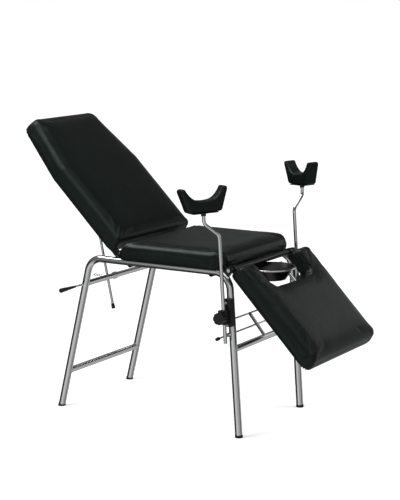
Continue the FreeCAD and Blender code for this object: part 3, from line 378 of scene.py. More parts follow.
class Finishes:
    """All materials of the couch, made once."""

    def __init__(self) -> None:
        """Make the materials."""
        self.vinyl = Vinyl().build()
        self.pad_vinyl = Vinyl(name="pad_vinyl", roughness=0.36, crease_height=0.0006).build()
        self.chrome = Metal("chrome", (0.86, 0.87, 0.87), 0.035).build()
        # The stainless is far darker than bare steel: painted dark reflection of the black cushions around
        # it.
        self.stainless = Metal("stainless", (0.2, 0.205, 0.2), 0.12, texture_height=0.00001,
                               roughness_range=0.08).build()
        # A black finish for some chrome and stainless parts; on several of them it is painted shade and
        # painted dark reflection, as noted at their list below.
        self.paint = Moulded("black_finish", (0.006, 0.006, 0.0062), 0.25, 300.0, 0.00002).build()
        self.zinc = Metal("zinc_steel", (0.45, 0.46, 0.47), 0.28, texture_height=0.00002,
                          roughness_range=0.12).build()
        self.plastic = Moulded("black_plastic", (0.008, 0.008, 0.0085), 0.35).build()
        self.rubber = Moulded("black_rubber", (0.01, 0.01, 0.01), 0.7).build()
        self.lining = Moulded("board_lining", (0.02, 0.02, 0.021), 0.85, 900.0, 0.0001, 0.3).build()


# Outlines


def rounded_outline(corners: Sequence[Point3], step: float = 12.0) -> List[Point2]:
    """Round the corners of an outline.

    Args:
        corners: x, y and corner radius of each corner, anticlockwise, in millimetres.
        step: length of one arc step in millimetres.

    Returns:
        The outline's points in millimetres.
    """
    points: List[Point2] = []
    count = len(corners)
    for index, (x, y, radius) in enumerate(corners):
        here = Vector((x, y))
        before = Vector(corners[index - 1][:2])
        after = Vector(corners[(index + 1) % count][:2])
        back = (before - here).normalized()
        ahead = (after - here).normalized()
        half = back.angle(ahead) / 2
        if radius < 0.5:
            points.append((x, y))
            continue
        reach = radius / math.tan(half)
        middle = here + (back + ahead).normalized() * (radius / math.sin(half))
        first, last = here + back * reach - middle, here + ahead * reach - middle
        turn = first.angle_signed(last)
        steps = max(3, int(abs(turn) * radius / step) + 1)
        for number in range(steps + 1):
            part = first.copy()
            part.rotate(Matrix.Rotation(-turn * number / steps, 2))
            points.append(tuple(middle + part))
    return points


def inset_outline(points: Sequence[Point2], distance: float) -> List[Point2]:
    """Draw a smooth outline inwards.

    Args:
        points: the outline's points, anticlockwise.
        distance: how far inwards, in the points' own unit.

    Returns:
        The moved points.
    """
    array = np.array(points)
    ahead = np.roll(array, -1, axis=0) - np.roll(array, 1, axis=0)
    normal = np.stack([-ahead[:, 1], ahead[:, 0]], axis=1)
    normal /= np.linalg.norm(normal, axis=1)[:, None]
    return [tuple(point) for point in array + normal * distance]


def distance_inside(points: np.ndarray, outline: np.ndarray) -> np.ndarray:
    """Measure how far points lie from an outline.

    Args:
        points: points as rows of x and y.
        outline: the closed outline's points as rows.

    Returns:
        The distance of each point.
    """
    best = np.full(len(points), np.inf)
    for start, end in zip(outline, np.roll(outline, -1, axis=0)):
        span = end - start
        size = max(float(span @ span), 1e-9)
        along = np.clip((points - start) @ span / size, 0.0, 1.0)
        best = np.minimum(best, np.linalg.norm(points - (start + along[:, None] * span), axis=1))
    return best


def both_sides(corners: Sequence[Point3]) -> List[Point3]:
    """Return the corners of an outline's near half and those of its mirror image."""
    return [*corners, *((x, -y, radius) for x, y, radius in reversed(corners))]


def pleat_pair(x: float, y: float, heading: float) -> List[Point3]:
    """Return the middles of the near and the far corner's pleats, each with its heading."""
    return [(x, -y, -heading), (x, y, heading)]


# Cushions


@dataclass
class Cushion:
    """A vinyl cushion on a board, in its own level frame, in millimetres.

    Attributes:
        name: piece name.
        node: CAD node that it replaces.
        body: CAD body that it rides on.
        corners: outline corners with their radii, anticlockwise.
        under: height of the underside.
        top: height of the rim of the top.
        rim: radius of the top rim.
        crown: height of the crown above the rim.
        pose: matrix from the level frame to the couch's frame.
        cap: farthest that the cloth may move.
        voxel: remesh size.
        pleats: corners that carry pleats, as x, y and outward heading in degrees.
        rear_round: radius of rounding of the end at the low x side, 0 for the rim's own.
        front_bulge: how far the end at the high x side swells between its corners.
        side_bulge: how far the side walls swell between their two edges.
        front_lip: how far the lower edge of the end at the high x side hangs below the underside.
        hem: how far the outermost edge hangs below the underside all round.
        crown_spread: how far inwards from the rim the crown rises.
        folds: the folds of a pleated corner, as angle and depth.
    """

    name: str
    node: str
    body: str
    corners: Sequence[Point3]
    under: float
    top: float
    rim: float
    crown: float
    pose: Matrix
    cap: float = 12.0
    voxel: float = 6.0
    pleats: Sequence[Point3] = field(default_factory=list)
    rear_round: float = 0.0
    front_bulge: float = 0.0
    side_bulge: float = 3.5
    front_lip: float = 0.0
    hem: float = 0.0
    crown_spread: float = 45.0
    folds: Sequence[Point2] = ((-44.0, 2.6), (-23.0, 3.8), (-2.0, 4.6), (19.0, 3.6), (41.0, 2.4))

    def build(self, material: Material) -> None:
        """Build the cushion, swell it as cloth and put it in place.

        Args:
            material: the vinyl.
        """
        held_edge = 6.0
        outline = rounded_outline(self.corners)
        piece = self._block(outline)
        modify(piece, "REMESH", mode="VOXEL", voxel_size=self.voxel * TO_METRES)
        self._shape(piece, np.array(outline))
        swell(piece, (self.under + held_edge) * TO_METRES, self.cap * TO_METRES)
        modify(piece, "SUBSURF", levels=1, render_levels=1)
        self._pleat(piece)
        dress(piece, material, self.pose)
        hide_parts(self.node)
        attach(piece, self.body)

    def _block(self, outline: Sequence[Point2]) -> Piece:
        """Build the closed block with a rounded top rim.

        Args:
            outline: the outline's points in millimetres.

        Returns:
            The block as an object, in metres.
        """
        lower_edge, steps = 8.0, 6
        wall = self.top - self.rim - self.under - lower_edge
        rings = [(5.0, self.under), (1.5, self.under + 2.0), (0.0, self.under + lower_edge)]
        for part in (0.25, 0.5, 0.75):
            rings.append((-self.side_bulge * math.sin(math.pi * part), self.under + lower_edge + wall * part))
        for number in range(steps + 1):
            angle = math.pi / 2 * number / steps
            rings.append((self.rim * (1 - math.cos(angle)), self.top - self.rim + self.rim * math.sin(angle)))
        mesh = bmesh.new()
        skin(mesh, level_rings(outline, rings))
        return to_object(mesh, self.name)

    def _shape(self, piece: Piece, outline: np.ndarray) -> None:
        """Give the block its crown, its rounded and swollen ends and its hanging edges.

        Args:
            piece: the block.
            outline: the outline's points in millimetres.
        """
        flat_edge = 6.0
        points = read_points(piece) / TO_METRES
        inside = distance_inside(points[:, :2], outline)
        high = np.clip((points[:, 2] - self.top + self.rim) / self.rim, 0.0, 1.0)
        rise = 1.0 - np.exp(-np.maximum(inside - flat_edge, 0.0) / self.crown_spread)
        points[:, 2] += self.crown * high * rise
        self._shape_ends(points)
        self._hang_edges(points, inside)
        write_points(piece, points * TO_METRES)

    def _shape_ends(self, points: np.ndarray) -> None:
        """Round the end at the low x side, and swell the other one between its corners.

        Args:
            points: the cushion's points in millimetres, which are moved.
        """
        if self.rear_round > 0.0:
            start = min(corner[0] for corner in self.corners)
            depth = np.clip(1.0 - (points[:, 0] - start) / self.rear_round, 0.0, 1.0)
            drop = self.rear_round - np.sqrt(np.maximum(self.rear_round ** 2 * (1 - depth ** 2), 0.0))
            points[:, 2] -= drop * np.clip((points[:, 2] - self.under) / (self.top - self.under), 0.0, 1.0)
        if self.front_bulge > 0.0:
            run, least = 60.0, 0.35
            front = max(corner[0] for corner in self.corners)
            half = max(corner[1] for corner in self.corners)
            ahead = np.clip((points[:, 0] - front + run) / run, 0.0, 1.0) ** 2
            rise = np.clip((points[:, 2] - self.under) / (self.top + self.crown - self.under), 0.0, 1.0)
            middle = 1.0 - np.clip(np.abs(points[:, 1]) / half, 0.0, 1.0) ** 6
            points[:, 0] += self.front_bulge * ahead * np.sin(np.pi * rise) * (least + (1.0 - least) * middle)

    def _hang_edges(self, points: np.ndarray, inside: np.ndarray) -> None:
        """Let the outermost edge hang over the board, and that of the front between the side frames.

        Args:
            points: the cushion's points in millimetres, which are moved.
            inside: each point's distance from the outline.
        """
        if self.hem > 0.0:
            width, ramp, height = 6.5, 4.0, 20.0
            edge = np.clip((width - inside) / ramp, 0.0, 1.0)
            points[:, 2] -= self.hem * edge * np.clip(1.0 - (points[:, 2] - self.under) / height, 0.0, 1.0)
        if self.front_lip > 0.0:
            run, ramp, half, taper, height = 34.0, 18.0, 246.0, 22.0, 26.0
            front = max(corner[0] for corner in self.corners)
            ahead = np.clip((points[:, 0] - front + run) / ramp, 0.0, 1.0)
            between = np.clip((half - np.abs(points[:, 1])) / taper, 0.0, 1.0)
            low = np.clip(1.0 - (points[:, 2] - self.under) / height, 0.0, 1.0)
            points[:, 2] -= self.front_lip * low * ahead * between * between * (3.0 - 2.0 * between)

    def _pleat(self, piece: Piece) -> None:
        """Fold the vinyl at the corners where it is gathered under the board.

        Args:
            piece: the cushion in its level frame.
        """
        bare, gathered, fade = 12.0, 50.0, 30.0
        sweep, width, ridge_shift, ridge_share = 75.0, 6.0, 10.0, 0.35
        points = read_points(piece) / TO_METRES
        normals = read_points(piece, "normal")
        for x, y, heading in self.pleats:
            away = points[:, :2] - np.array((x, y))
            reach = np.linalg.norm(away, axis=1)
            turn = np.degrees(np.arctan2(away[:, 1], away[:, 0])) - heading
            turn = (turn + 180.0) % 360.0 - 180.0
            low = np.clip((self.top - points[:, 2]) / (self.top - self.under), 0.0, 1.0)
            near = np.exp(-(np.maximum(reach - gathered, 0.0) / fade) ** 2)
            near = near * (np.abs(turn) < sweep) * (reach > bare)
            folds = np.zeros(len(points))
            for shift, depth in self.folds:
                line = shift * (0.45 + 0.55 * low)
                folds += depth * np.exp(-((turn - line) / width) ** 2)
                folds -= ridge_share * depth * np.exp(-((turn - line - ridge_shift) / width) ** 2)
            points -= normals * (folds * near * np.clip(low * 1.8, 0.0, 1.0))[:, None]
        write_points(piece, points * TO_METRES)


@dataclass
class Board:
    """The board under a cushion, with the cushion's rounded corners, in millimetres.

    Attributes:
        name: piece name.
        cushion: the cushion that lies on it.
        node: CAD node that it replaces.
        thickness: thickness up to the foam.
        chamfer: chamfer of the lower edge.
        inset: how far its edge stands inside the cushion's.
    """

    name: str
    cushion: Cushion
    node: str
    thickness: float = 11.5
    chamfer: float = 1.5
    inset: float = 4.5

    def build(self, material: Material) -> None:
        """Build the board and put it under its cushion.

        Args:
            material: the board's lining.
        """
        under = self.cushion.under
        rings = [(self.inset + self.chamfer, under), (self.inset, under + self.chamfer),
                 (self.inset, under + self.thickness)]
        mesh = bmesh.new()
        skin(mesh, level_rings(rounded_outline(self.cushion.corners), rings))
        piece = to_object(mesh, self.name)
        dress(piece, material, self.cushion.pose, smooth=False)
        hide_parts(self.node)
        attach(piece, self.cushion.body)


@dataclass(frozen=True)
class LegHolder:
    """Where a leg holder's rod carries its pad, in millimetres and degrees.

    Attributes:
        side: side of the couch.
        bend: height of the rod's crank above the clamp.
        throw: sideways reach of the crank.
        crank: heading of the crank.
        yaw: turn of the pad about its rod.
    """

    side: Side
    bend: float
    throw: float
    crank: float
    yaw: float

    def pad_pose(self) -> Matrix:
        """Return the matrix that puts the pad on its socket.

        Returns:
            The matrix from the pad's frame to the couch's frame.
        """
        clamp_height, rod_back, rod_out, pad_above_crank = 550.0, 6.0, 53.0, 105.0
        foot, splay = FRONT_LEG
        splay, heading = math.radians(splay), math.radians(self.crank)
        clamp = Vector((foot + math.tan(splay) * clamp_height, LEG_OFFSET * self.side.value, clamp_height))
        local = Vector((self.throw * math.cos(heading) - rod_back,
                        self.throw * math.sin(heading) + rod_out * self.side.value,
                        self.bend + pad_above_crank))
        base = MIDDLE @ Matrix.Translation(clamp * TO_METRES) @ Matrix.Rotation(splay, 4, "Y")
        return base @ Matrix.Translation(local * TO_METRES) @ Matrix.Rotation(math.radians(self.yaw), 4, "Z")


@dataclass
class LegPad:
    """A padded trough that carries a lower leg, in millimetres.

    Attributes:
        holder: the leg holder that carries it.
        half_top: half the width at the tips.
        half_base: half the width of the base.
        height: height of the tips.
        valley: depth of the valley.
        depth: length along the leg.
        tip: width of a tip.
        voxel: remesh size.
    """

    holder: LegHolder
    half_top: float = 108.0
    half_base: float = 76.0
    height: float = 104.0
    valley: float = 53.0
    depth: float = 56.0
    tip: float = 18.0
    voxel: float = 4.0

    def build(self, material: Material) -> None:
        """Build the pad and put it in place.

        Args:
            material: the vinyl.
        """
        word = self.holder.side.name.lower()
        outline = self._outline()
        rings = []
        for inset, where in ((6.0, -0.5), (2.0, -0.47), (0.0, -0.4), (0.0, 0.4), (2.0, 0.47), (6.0, 0.5)):
            rings.append([(x, -self.depth * where, z) for x, z in inset_outline(outline, inset)])
        mesh = bmesh.new()
        skin(mesh, rings)
        piece = to_object(mesh, "leg_pad_" + word)
        modify(piece, "REMESH", mode="VOXEL", voxel_size=self.voxel * TO_METRES)
        swell(piece, 0.004, 0.003)
        modify(piece, "SUBSURF", levels=1, render_levels=1)
        dress(piece, material, self.holder.pad_pose())
        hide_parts("holder_pad_" + word)
        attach(piece, "holder_pad_" + word)

    def _outline(self) -> List[Point2]:
        """Draw the trough across the leg.

        Returns:
            The outline's points in millimetres.
        """
        steps, steepness = 8, 3.0
        floor = self.height - self.valley
        inner = self.half_top - self.tip - 2.0
        far_tip = [(self.half_top, self.height - self.tip * 0.6, 9.0),
                   (self.half_top - 4.0, self.height, 7.0)]
        corners = [(-self.half_base, 0.0, 14.0), (self.half_base, 0.0, 14.0), *far_tip]
        for number in range(2 * steps + 1):
            part = 1.0 - number / steps
            corners.append((inner * part, floor + (self.height - floor) * abs(part) ** steepness, 0.0))
        corners += [(-x, z, radius) for x, z, radius in reversed(far_tip)]
        return rounded_outline(corners, 6.0)


# Mesh helpers


def to_object(mesh: EditMesh, name: str) -> Piece:
    """Turn an edit mesh into a linked object.

    Args:
        mesh: the edit mesh, which is freed.
        name: object name.

    Returns:
        The object.
    """
    bmesh.ops.recalc_face_normals(mesh, faces=mesh.faces)
    data = bpy.data.meshes.new(name)
    mesh.to_mesh(data)
    mesh.free()
    piece = bpy.data.objects.new(name, data)
    bpy.context.scene.collection.objects.link(piece)
    return piece


def level_rings(outline: Sequence[Point2], rings: Sequence[Point2]) -> List[List[Point3]]:
    """Stack copies of an outline: each ring tells how far one is drawn inwards, and its height."""
    return [[(x, y, height) for x, y in inset_outline(outline, inset)] for inset, height in rings]


def skin(mesh: EditMesh, rings: Sequence[Sequence[Point3]]) -> None:
    """Add a closed body whose surface runs from ring to ring.

    Args:
        mesh: the edit mesh.
        rings: the rings' points in millimetres, from one end to the other.
    """
    loops = [[mesh.verts.new([value * TO_METRES for value in point]) for point in ring] for ring in rings]
    for low, high in zip(loops, loops[1:]):
        for index in range(len(low)):
            following = (index + 1) % len(low)
            mesh.faces.new((low[index], low[following], high[following], high[index]))
    mesh.faces.new(list(reversed(loops[0])))
    mesh.faces.new(loops[-1])


def dress(piece: Piece, material: Material, pose: Matrix, smooth: bool = True) -> None:
    """Put a finished mesh in its place, give it its material and report it.

    Args:
        piece: the object.
        material: its material.
        pose: matrix from the mesh's own frame to the couch's frame.
        smooth: whether its faces are shaded smooth.
    """
    piece.data.transform(pose)
    piece.data.materials.clear()
    piece.data.materials.append(material)
    if smooth:
        shade_smooth(piece)
    LOG.info("%s: %d faces in %s", piece.name, len(piece.data.polygons), material.name)


def read_points(piece: Piece, what: str = "co") -> np.ndarray:
    """Read a value of each of a mesh's points.

    Args:
        piece: the object.
        what: co for the places, normal for the normals.

    Returns:
        The values as rows.
    """
    values = np.zeros(len(piece.data.vertices) * 3)
    piece.data.vertices.foreach_get(what, values)
    return values.reshape(-1, 3)


def write_points(piece: Piece, points: np.ndarray) -> None:
    """Write a mesh's points, which are given as rows."""
    piece.data.vertices.foreach_set("co", points.reshape(-1))
    piece.data.update()


def modify(piece: Piece, kind: str, **values: object) -> None:
    """Replace a mesh by its form under a modifier.

    Args:
        piece: the object.
        kind: the modifier's type.
        values: the modifier's settings.
    """
    modifier = piece.modifiers.new(kind.lower(), kind)
    for name, value in values.items():
        setattr(modifier, name, value)
    data = bpy.data.meshes.new_from_object(piece.evaluated_get(bpy.context.evaluated_depsgraph_get()))
    piece.modifiers.clear()
    old = piece.data
    piece.data = data
    bpy.data.meshes.remove(old)


def shade_smooth(piece: Piece) -> None:
    """Shade all faces of a mesh smooth."""
    piece.data.polygons.foreach_set("use_smooth", [True] * len(piece.data.polygons))
    piece.data.update()


CLOTH = {
    "quality": 4,
    "mass": 0.3,
    "tension_stiffness": 25.0,
    "compression_stiffness": 25.0,
    "shear_stiffness": 12.0,
    "bending_stiffness": 1.5,
    "use_pressure": True,
    "uniform_pressure_force": 4.0,
    "vertex_group_mass": "held",
}
CLOTH_FRAMES = 20


def swell(piece: Piece, held_below: float, cap: float, share: float = 0.42) -> None:
    """Swell a closed mesh as cloth under pressure, held at its underside.

    Args:
        piece: the object, level and in metres.
        held_below: height under which the cloth is held.
        cap: farthest that a point may move, in metres.
        share: part of the cloth's movement that the taut vinyl keeps.
    """
    start = read_points(piece)
    held = piece.vertex_groups.new(name=CLOTH["vertex_group_mass"])
    held.add([int(index) for index in np.nonzero(start[:, 2] < held_below)[0]], 1.0, "REPLACE")
    modifier = piece.modifiers.new("cloth", "CLOTH")
    for name, value in CLOTH.items():
        setattr(modifier.settings, name, value)
    modifier.settings.effector_weights.gravity = 0.0
    modifier.collision_settings.use_collision = False
    scene = bpy.context.scene
    for number in range(1, CLOTH_FRAMES + 1):
        scene.frame_set(number)
    move = read_points(piece.evaluated_get(bpy.context.evaluated_depsgraph_get())) - start
    far = np.maximum(np.linalg.norm(move, axis=1), 1e-9)
    move *= share * np.minimum(1.0, cap / far)[:, None]
    LOG.info("%s swelled by up to %.1f mm", piece.name, share * min(float(far.max()), cap) / TO_METRES)
    piece.modifiers.clear()
    piece.vertex_groups.clear()
    write_points(piece, start + move)
    scene.frame_set(1)


# The couch


@dataclass
class Upholstery:
    """The three cushions of the lying surface with their boards, and the two leg pads.

    Attributes:
        pivot_back: pivot of the backrest, in metres.
        pivot_foot: pivot of the foot section, in metres.
        tilt_back: tilt of the backrest in degrees.
        tilt_foot: tilt of the foot section in degrees.
        holders: the two leg holders.
    """

    pivot_back: Point3 = (-0.140, 0.0, 0.748)
    pivot_foot: Point3 = (0.440, 0.0, 0.728)
    tilt_back: float = 44.5
    tilt_foot: float = 46.0
    holders: Sequence[LegHolder] = (LegHolder(Side.NEAR, 336.0, 68.0, -119.0, 57.0),
                                    LegHolder(Side.FAR, 364.0, 63.0, 78.0, -28.0))

    def build(self, finishes: Finishes) -> None:
        """Build all upholstery.

        Args:
            finishes: the couch's materials.
        """
        for name, cushion in (("seat_board", self._seat()), ("backrest_board", self._backrest()),
                              ("foot_board", self._foot_section())):
            cushion.build(finishes.vinyl)
            Board(name + "_rounded", cushion, name).build(finishes.lining)
        for holder in self.holders:
            LegPad(holder).build(finishes.pad_vinyl)

    def _seat(self) -> Cushion:
        """Draw the seat's cushion, with its rounded rear and its front that hangs over the hinge.

        Returns:
            The cushion.
        """
        rear, front, corner = -126.0, 411.0, 50.0
        outline = both_sides([(rear, -HALF_WIDTH, SMALL_CORNER), (front, -HALF_WIDTH, corner)])
        pleats = [*pleat_pair(front - corner, HALF_WIDTH - corner, 45.0),
                  *pleat_pair(rear + SMALL_CORNER, HALF_WIDTH - SMALL_CORNER, 135.0)]
        return Cushion("seat_upholstery", "seat_cushion", "frame", outline, 731.0, 799.0, 25.0, 9.0, MIDDLE,
                       pleats=pleats, rear_round=44.0, front_bulge=11.0, front_lip=19.0, hem=7.0)

    def _backrest(self) -> Cushion:
        """Draw the backrest's cushion, which narrows towards the head.

        Returns:
            The cushion.
        """
        front = -24.0
        outline = both_sides([(-770.0, -231.0, 56.0), (-462.0, -HALF_WIDTH, 60.0),
                              (front, -HALF_WIDTH, SMALL_CORNER)])
        pleats = [*pleat_pair(-712.0, 188.0, 150.0),
                  *pleat_pair(front - SMALL_CORNER, HALF_WIDTH - SMALL_CORNER, 45.0)]
        pose = tilted(self.pivot_back, self.tilt_back)
        return Cushion("backrest_upholstery", "backrest_cushion", "backrest", outline, -12.0, 61.0, 23.0,
                       10.0, pose, pleats=pleats, hem=6.0)

    def _foot_section(self) -> Cushion:
        """Draw the foot section's cushion, cut out over the basin.

        Returns:
            The cushion.
        """
        start, end, corner = 21.0, 541.0, 36.0
        mouth, reach, cut, cut_radius = 191.0, 163.0, 30.0, 20.0
        outline = both_sides([(start, -HALF_WIDTH, SMALL_CORNER), (end, -HALF_WIDTH, corner)])
        outline += both_sides([(start, mouth, SMALL_CORNER), (reach - cut, mouth, cut_radius),
                               (reach, mouth - cut, cut_radius)])
        pleats = [*pleat_pair(end - corner, HALF_WIDTH - corner, 45.0),
                  *pleat_pair(start + SMALL_CORNER, HALF_WIDTH - SMALL_CORNER, 135.0)]
        return Cushion("foot_upholstery", "foot_cushion", "foot_section", outline, 4.0, 74.0, 28.0, 10.0,
                       tilted(self.pivot_foot, self.tilt_foot), pleats=pleats, hem=8.0)


def tilted(pivot: Point3, degrees: float) -> Matrix:
    """Return the matrix that tilts a level frame about a pivot along Y, which is given in metres."""
    return MIDDLE @ Matrix.Translation(pivot) @ Matrix.Rotation(math.radians(degrees), 4, "Y")


@dataclass(frozen=True)
class Joint:
    """A cross tube that is welded to both legs at one end of the couch, in millimetres.

    Attributes:
        height: height of the tube's axis.
        radius: the tube's radius.
        leg: the leg's run at the floor and its lean in degrees, towards the foot end going up.
    """

    height: float
    radius: float
    leg: Point2


@dataclass
class Welds:
    """Rippled weld beads where the cross tubes meet the legs.

    Attributes:
        joints: the welded tubes.
        bead: radius of a bead in millimetres.
    """

    joints: Sequence[Joint] = (Joint(173.0, 14.0, REAR_LEG), Joint(594.0, 12.5, REAR_LEG),
                               Joint(386.0, 14.0, FRONT_LEG), Joint(516.0, 4.0, FRONT_LEG))
    bead: float = 1.7

    def build(self, material: Material) -> None:
        """Build all beads as one piece on the frame.

        Args:
            material: the tubes' plating.
        """
        mesh = bmesh.new()
        for joint in self.joints:
            for side in Side:
                self._ring(mesh, joint, side)
        piece = to_object(mesh, "frame_weld_beads")
        dress(piece, material, MIDDLE)
        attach(piece, "frame")

    def _ring(self, mesh: EditMesh, joint: Joint, side: Side) -> None:
        """Add one bead along the saddle where a round tube meets a round leg.

        Args:
            mesh: the edit mesh.
            joint: the welded tube.
            side: which leg.
        """
        foot, splay = joint.leg
        lean = math.radians(splay)
        run = foot + math.tan(lean) * joint.height
        count, around, ripples, ripple = 72, 7, 14, 0.22
        sections = []
        for number in range(count):
            angle = 2 * math.pi * number / count
            out = Vector((math.cos(angle), 0.0, math.sin(angle)))
            reach = out * joint.radius
            off_axis = reach.x * math.cos(lean) - reach.z * math.sin(lean)
            depth = math.sqrt(max(LEG_RADIUS ** 2 - off_axis ** 2, 0.0))
            middle = Vector((run, side.value * (LEG_OFFSET - depth), joint.height)) + reach
            size = min(self.bead, joint.radius * 0.3) * (1.0 + ripple * math.cos(ripples * angle))
            inward = Vector((0.0, -side.value, 0.0))
            ring = []
            for step in range(around):
                turn = 2 * math.pi * step / around
                point = middle + (out * math.cos(turn) + inward * math.sin(turn)) * size
                ring.append(mesh.verts.new(point * TO_METRES))
            sections.append(ring)
        for first, second in zip(sections, sections[1:] + sections[:1]):
            for step in range(around):
                following = (step + 1) % around
                mesh.faces.new((first[step], first[following], second[following], second[step]))


@dataclass
class FootCaps:
    """The rubber caps on the legs' ends, cut flat at the floor, in millimetres.

    Attributes:
        legs: run of each leg at the floor and its lean in degrees.
        radius: outer radius.
        bore: radius of the bore that takes the leg.
        rim: height of the rim, along the leg.
        seat: height of the bore's end, along the leg.
    """

    legs: Sequence[Point2] = (REAR_LEG, FRONT_LEG)
    radius: float = 17.4
    bore: float = 16.2
    rim: float = 11.0
    seat: float = 4.7

    def build(self, material: Material) -> None:
        """Build the four caps as one piece.

        Args:
            material: the rubber.
        """
        mesh = bmesh.new()
        for foot, lean in self.legs:
            for side in Side:
                self._cap(mesh, foot, lean, side)
        piece = to_object(mesh, "leg_end_caps")
        dress(piece, material, MIDDLE, smooth=False)
        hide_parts("rubber_feet")
        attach(piece, "frame")

    def _cap(self, mesh: EditMesh, foot: float, lean: float, side: Side) -> None:
        """Add one cap.

        Args:
            mesh: the edit mesh.
            foot: run of the leg at the floor.
            lean: lean of the leg in degrees.
            side: side of the couch.
        """
        angle = math.radians(lean)
        axis = Vector((math.sin(angle), 0.0, math.cos(angle)))
        across = Vector((math.cos(angle), 0.0, -math.sin(angle)))
        outward = Vector((0.0, 1.0, 0.0))
        base = Vector((foot, LEG_OFFSET * side.value, 0.0))
        count = 48
        rings = []
        for radius, height in ((self.radius, None), (self.radius, self.rim), (self.bore, self.rim),
                               (self.bore, self.seat)):
            ring = []
            for number in range(count):
                turn = 2 * math.pi * number / count
                point = base + radius * (math.cos(turn) * across + math.sin(turn) * outward)
                ring.append(point + axis * (-point.z / axis.z if height is None else height))
            rings.append(ring)
        skin(mesh, rings)


SLOT_FINISH = {"vinyl": "vinyl", "chrome_tube": "chrome", "black_plastic": "plastic",
               "black_rubber": "rubber", "board": "lining", "stainless": "stainless", "zinc_steel": "zinc"}
# These chrome and stainless parts get a black finish in place of their slot's metal. On the basin and the
# foot hinge's brackets and straps the black is a painted dark reflection of the black cushions around them.
# On the foot hinge's shaft it is painted shade, which hides the shaft in the dark between seat and foot
# section. The rest of the list takes the same black.
BLACKENED_NODES = (
    "backrest_hinge_ears", "backrest_hinge_lug_far", "backrest_hinge_lug_near", "basin",
    "foot_hinge_brackets", "foot_hinge_shaft", "foot_hinge_straps", "seat_cross_tube_front",
    "seat_cross_tube_rear", "strut_bracket", "strut_outer_tube", "strut_lugs")
NODE_FINISH = {"basin_ring": "chrome", **{name: "paint" for name in BLACKENED_NODES}}


def dress_nodes(finishes: Finishes) -> None:
    """Give every carried CAD node its material.

    Args:
        finishes: the couch's materials.
    """
    for entry in frame["record"]["subparts"]:
        piece = frame["nodes"][entry["node"]]
        finish = NODE_FINISH.get(entry["node"], SLOT_FINISH[entry["material_slot"]])
        piece.data.materials.clear()
        piece.data.materials.append(getattr(finishes, finish))
        LOG.info("%s: %s", entry["node"], finish)


# The stage


@dataclass(frozen=True)
class Lamp:
    """A round soft lamp, in metres and watts.

    Attributes:
        name: lamp name.
        place: its position.
        target: the point that it faces.
        size: its diameter.
        power: its power.
        mirrored: True where only reflections see it, False where they don't.
    """

    name: str
    place: Point3
    target: Point3
    size: float
    power: float
    mirrored: bool = False

    def build(self) -> None:
        """Hang the lamp."""
        data = bpy.data.lights.new(self.name, "AREA")
        data.shape = "DISK"
        data.size = self.size
        data.energy = self.power
        lamp = bpy.data.objects.new(self.name, data)
        lamp.location = self.place
        lamp.visible_glossy = self.mirrored
        if self.mirrored:
            data.diffuse_factor = 0.0
        lamp.rotation_euler = (Vector(self.target) - Vector(self.place)).to_track_quat("-Z", "Y").to_euler()
        bpy.context.scene.collection.objects.link(lamp)


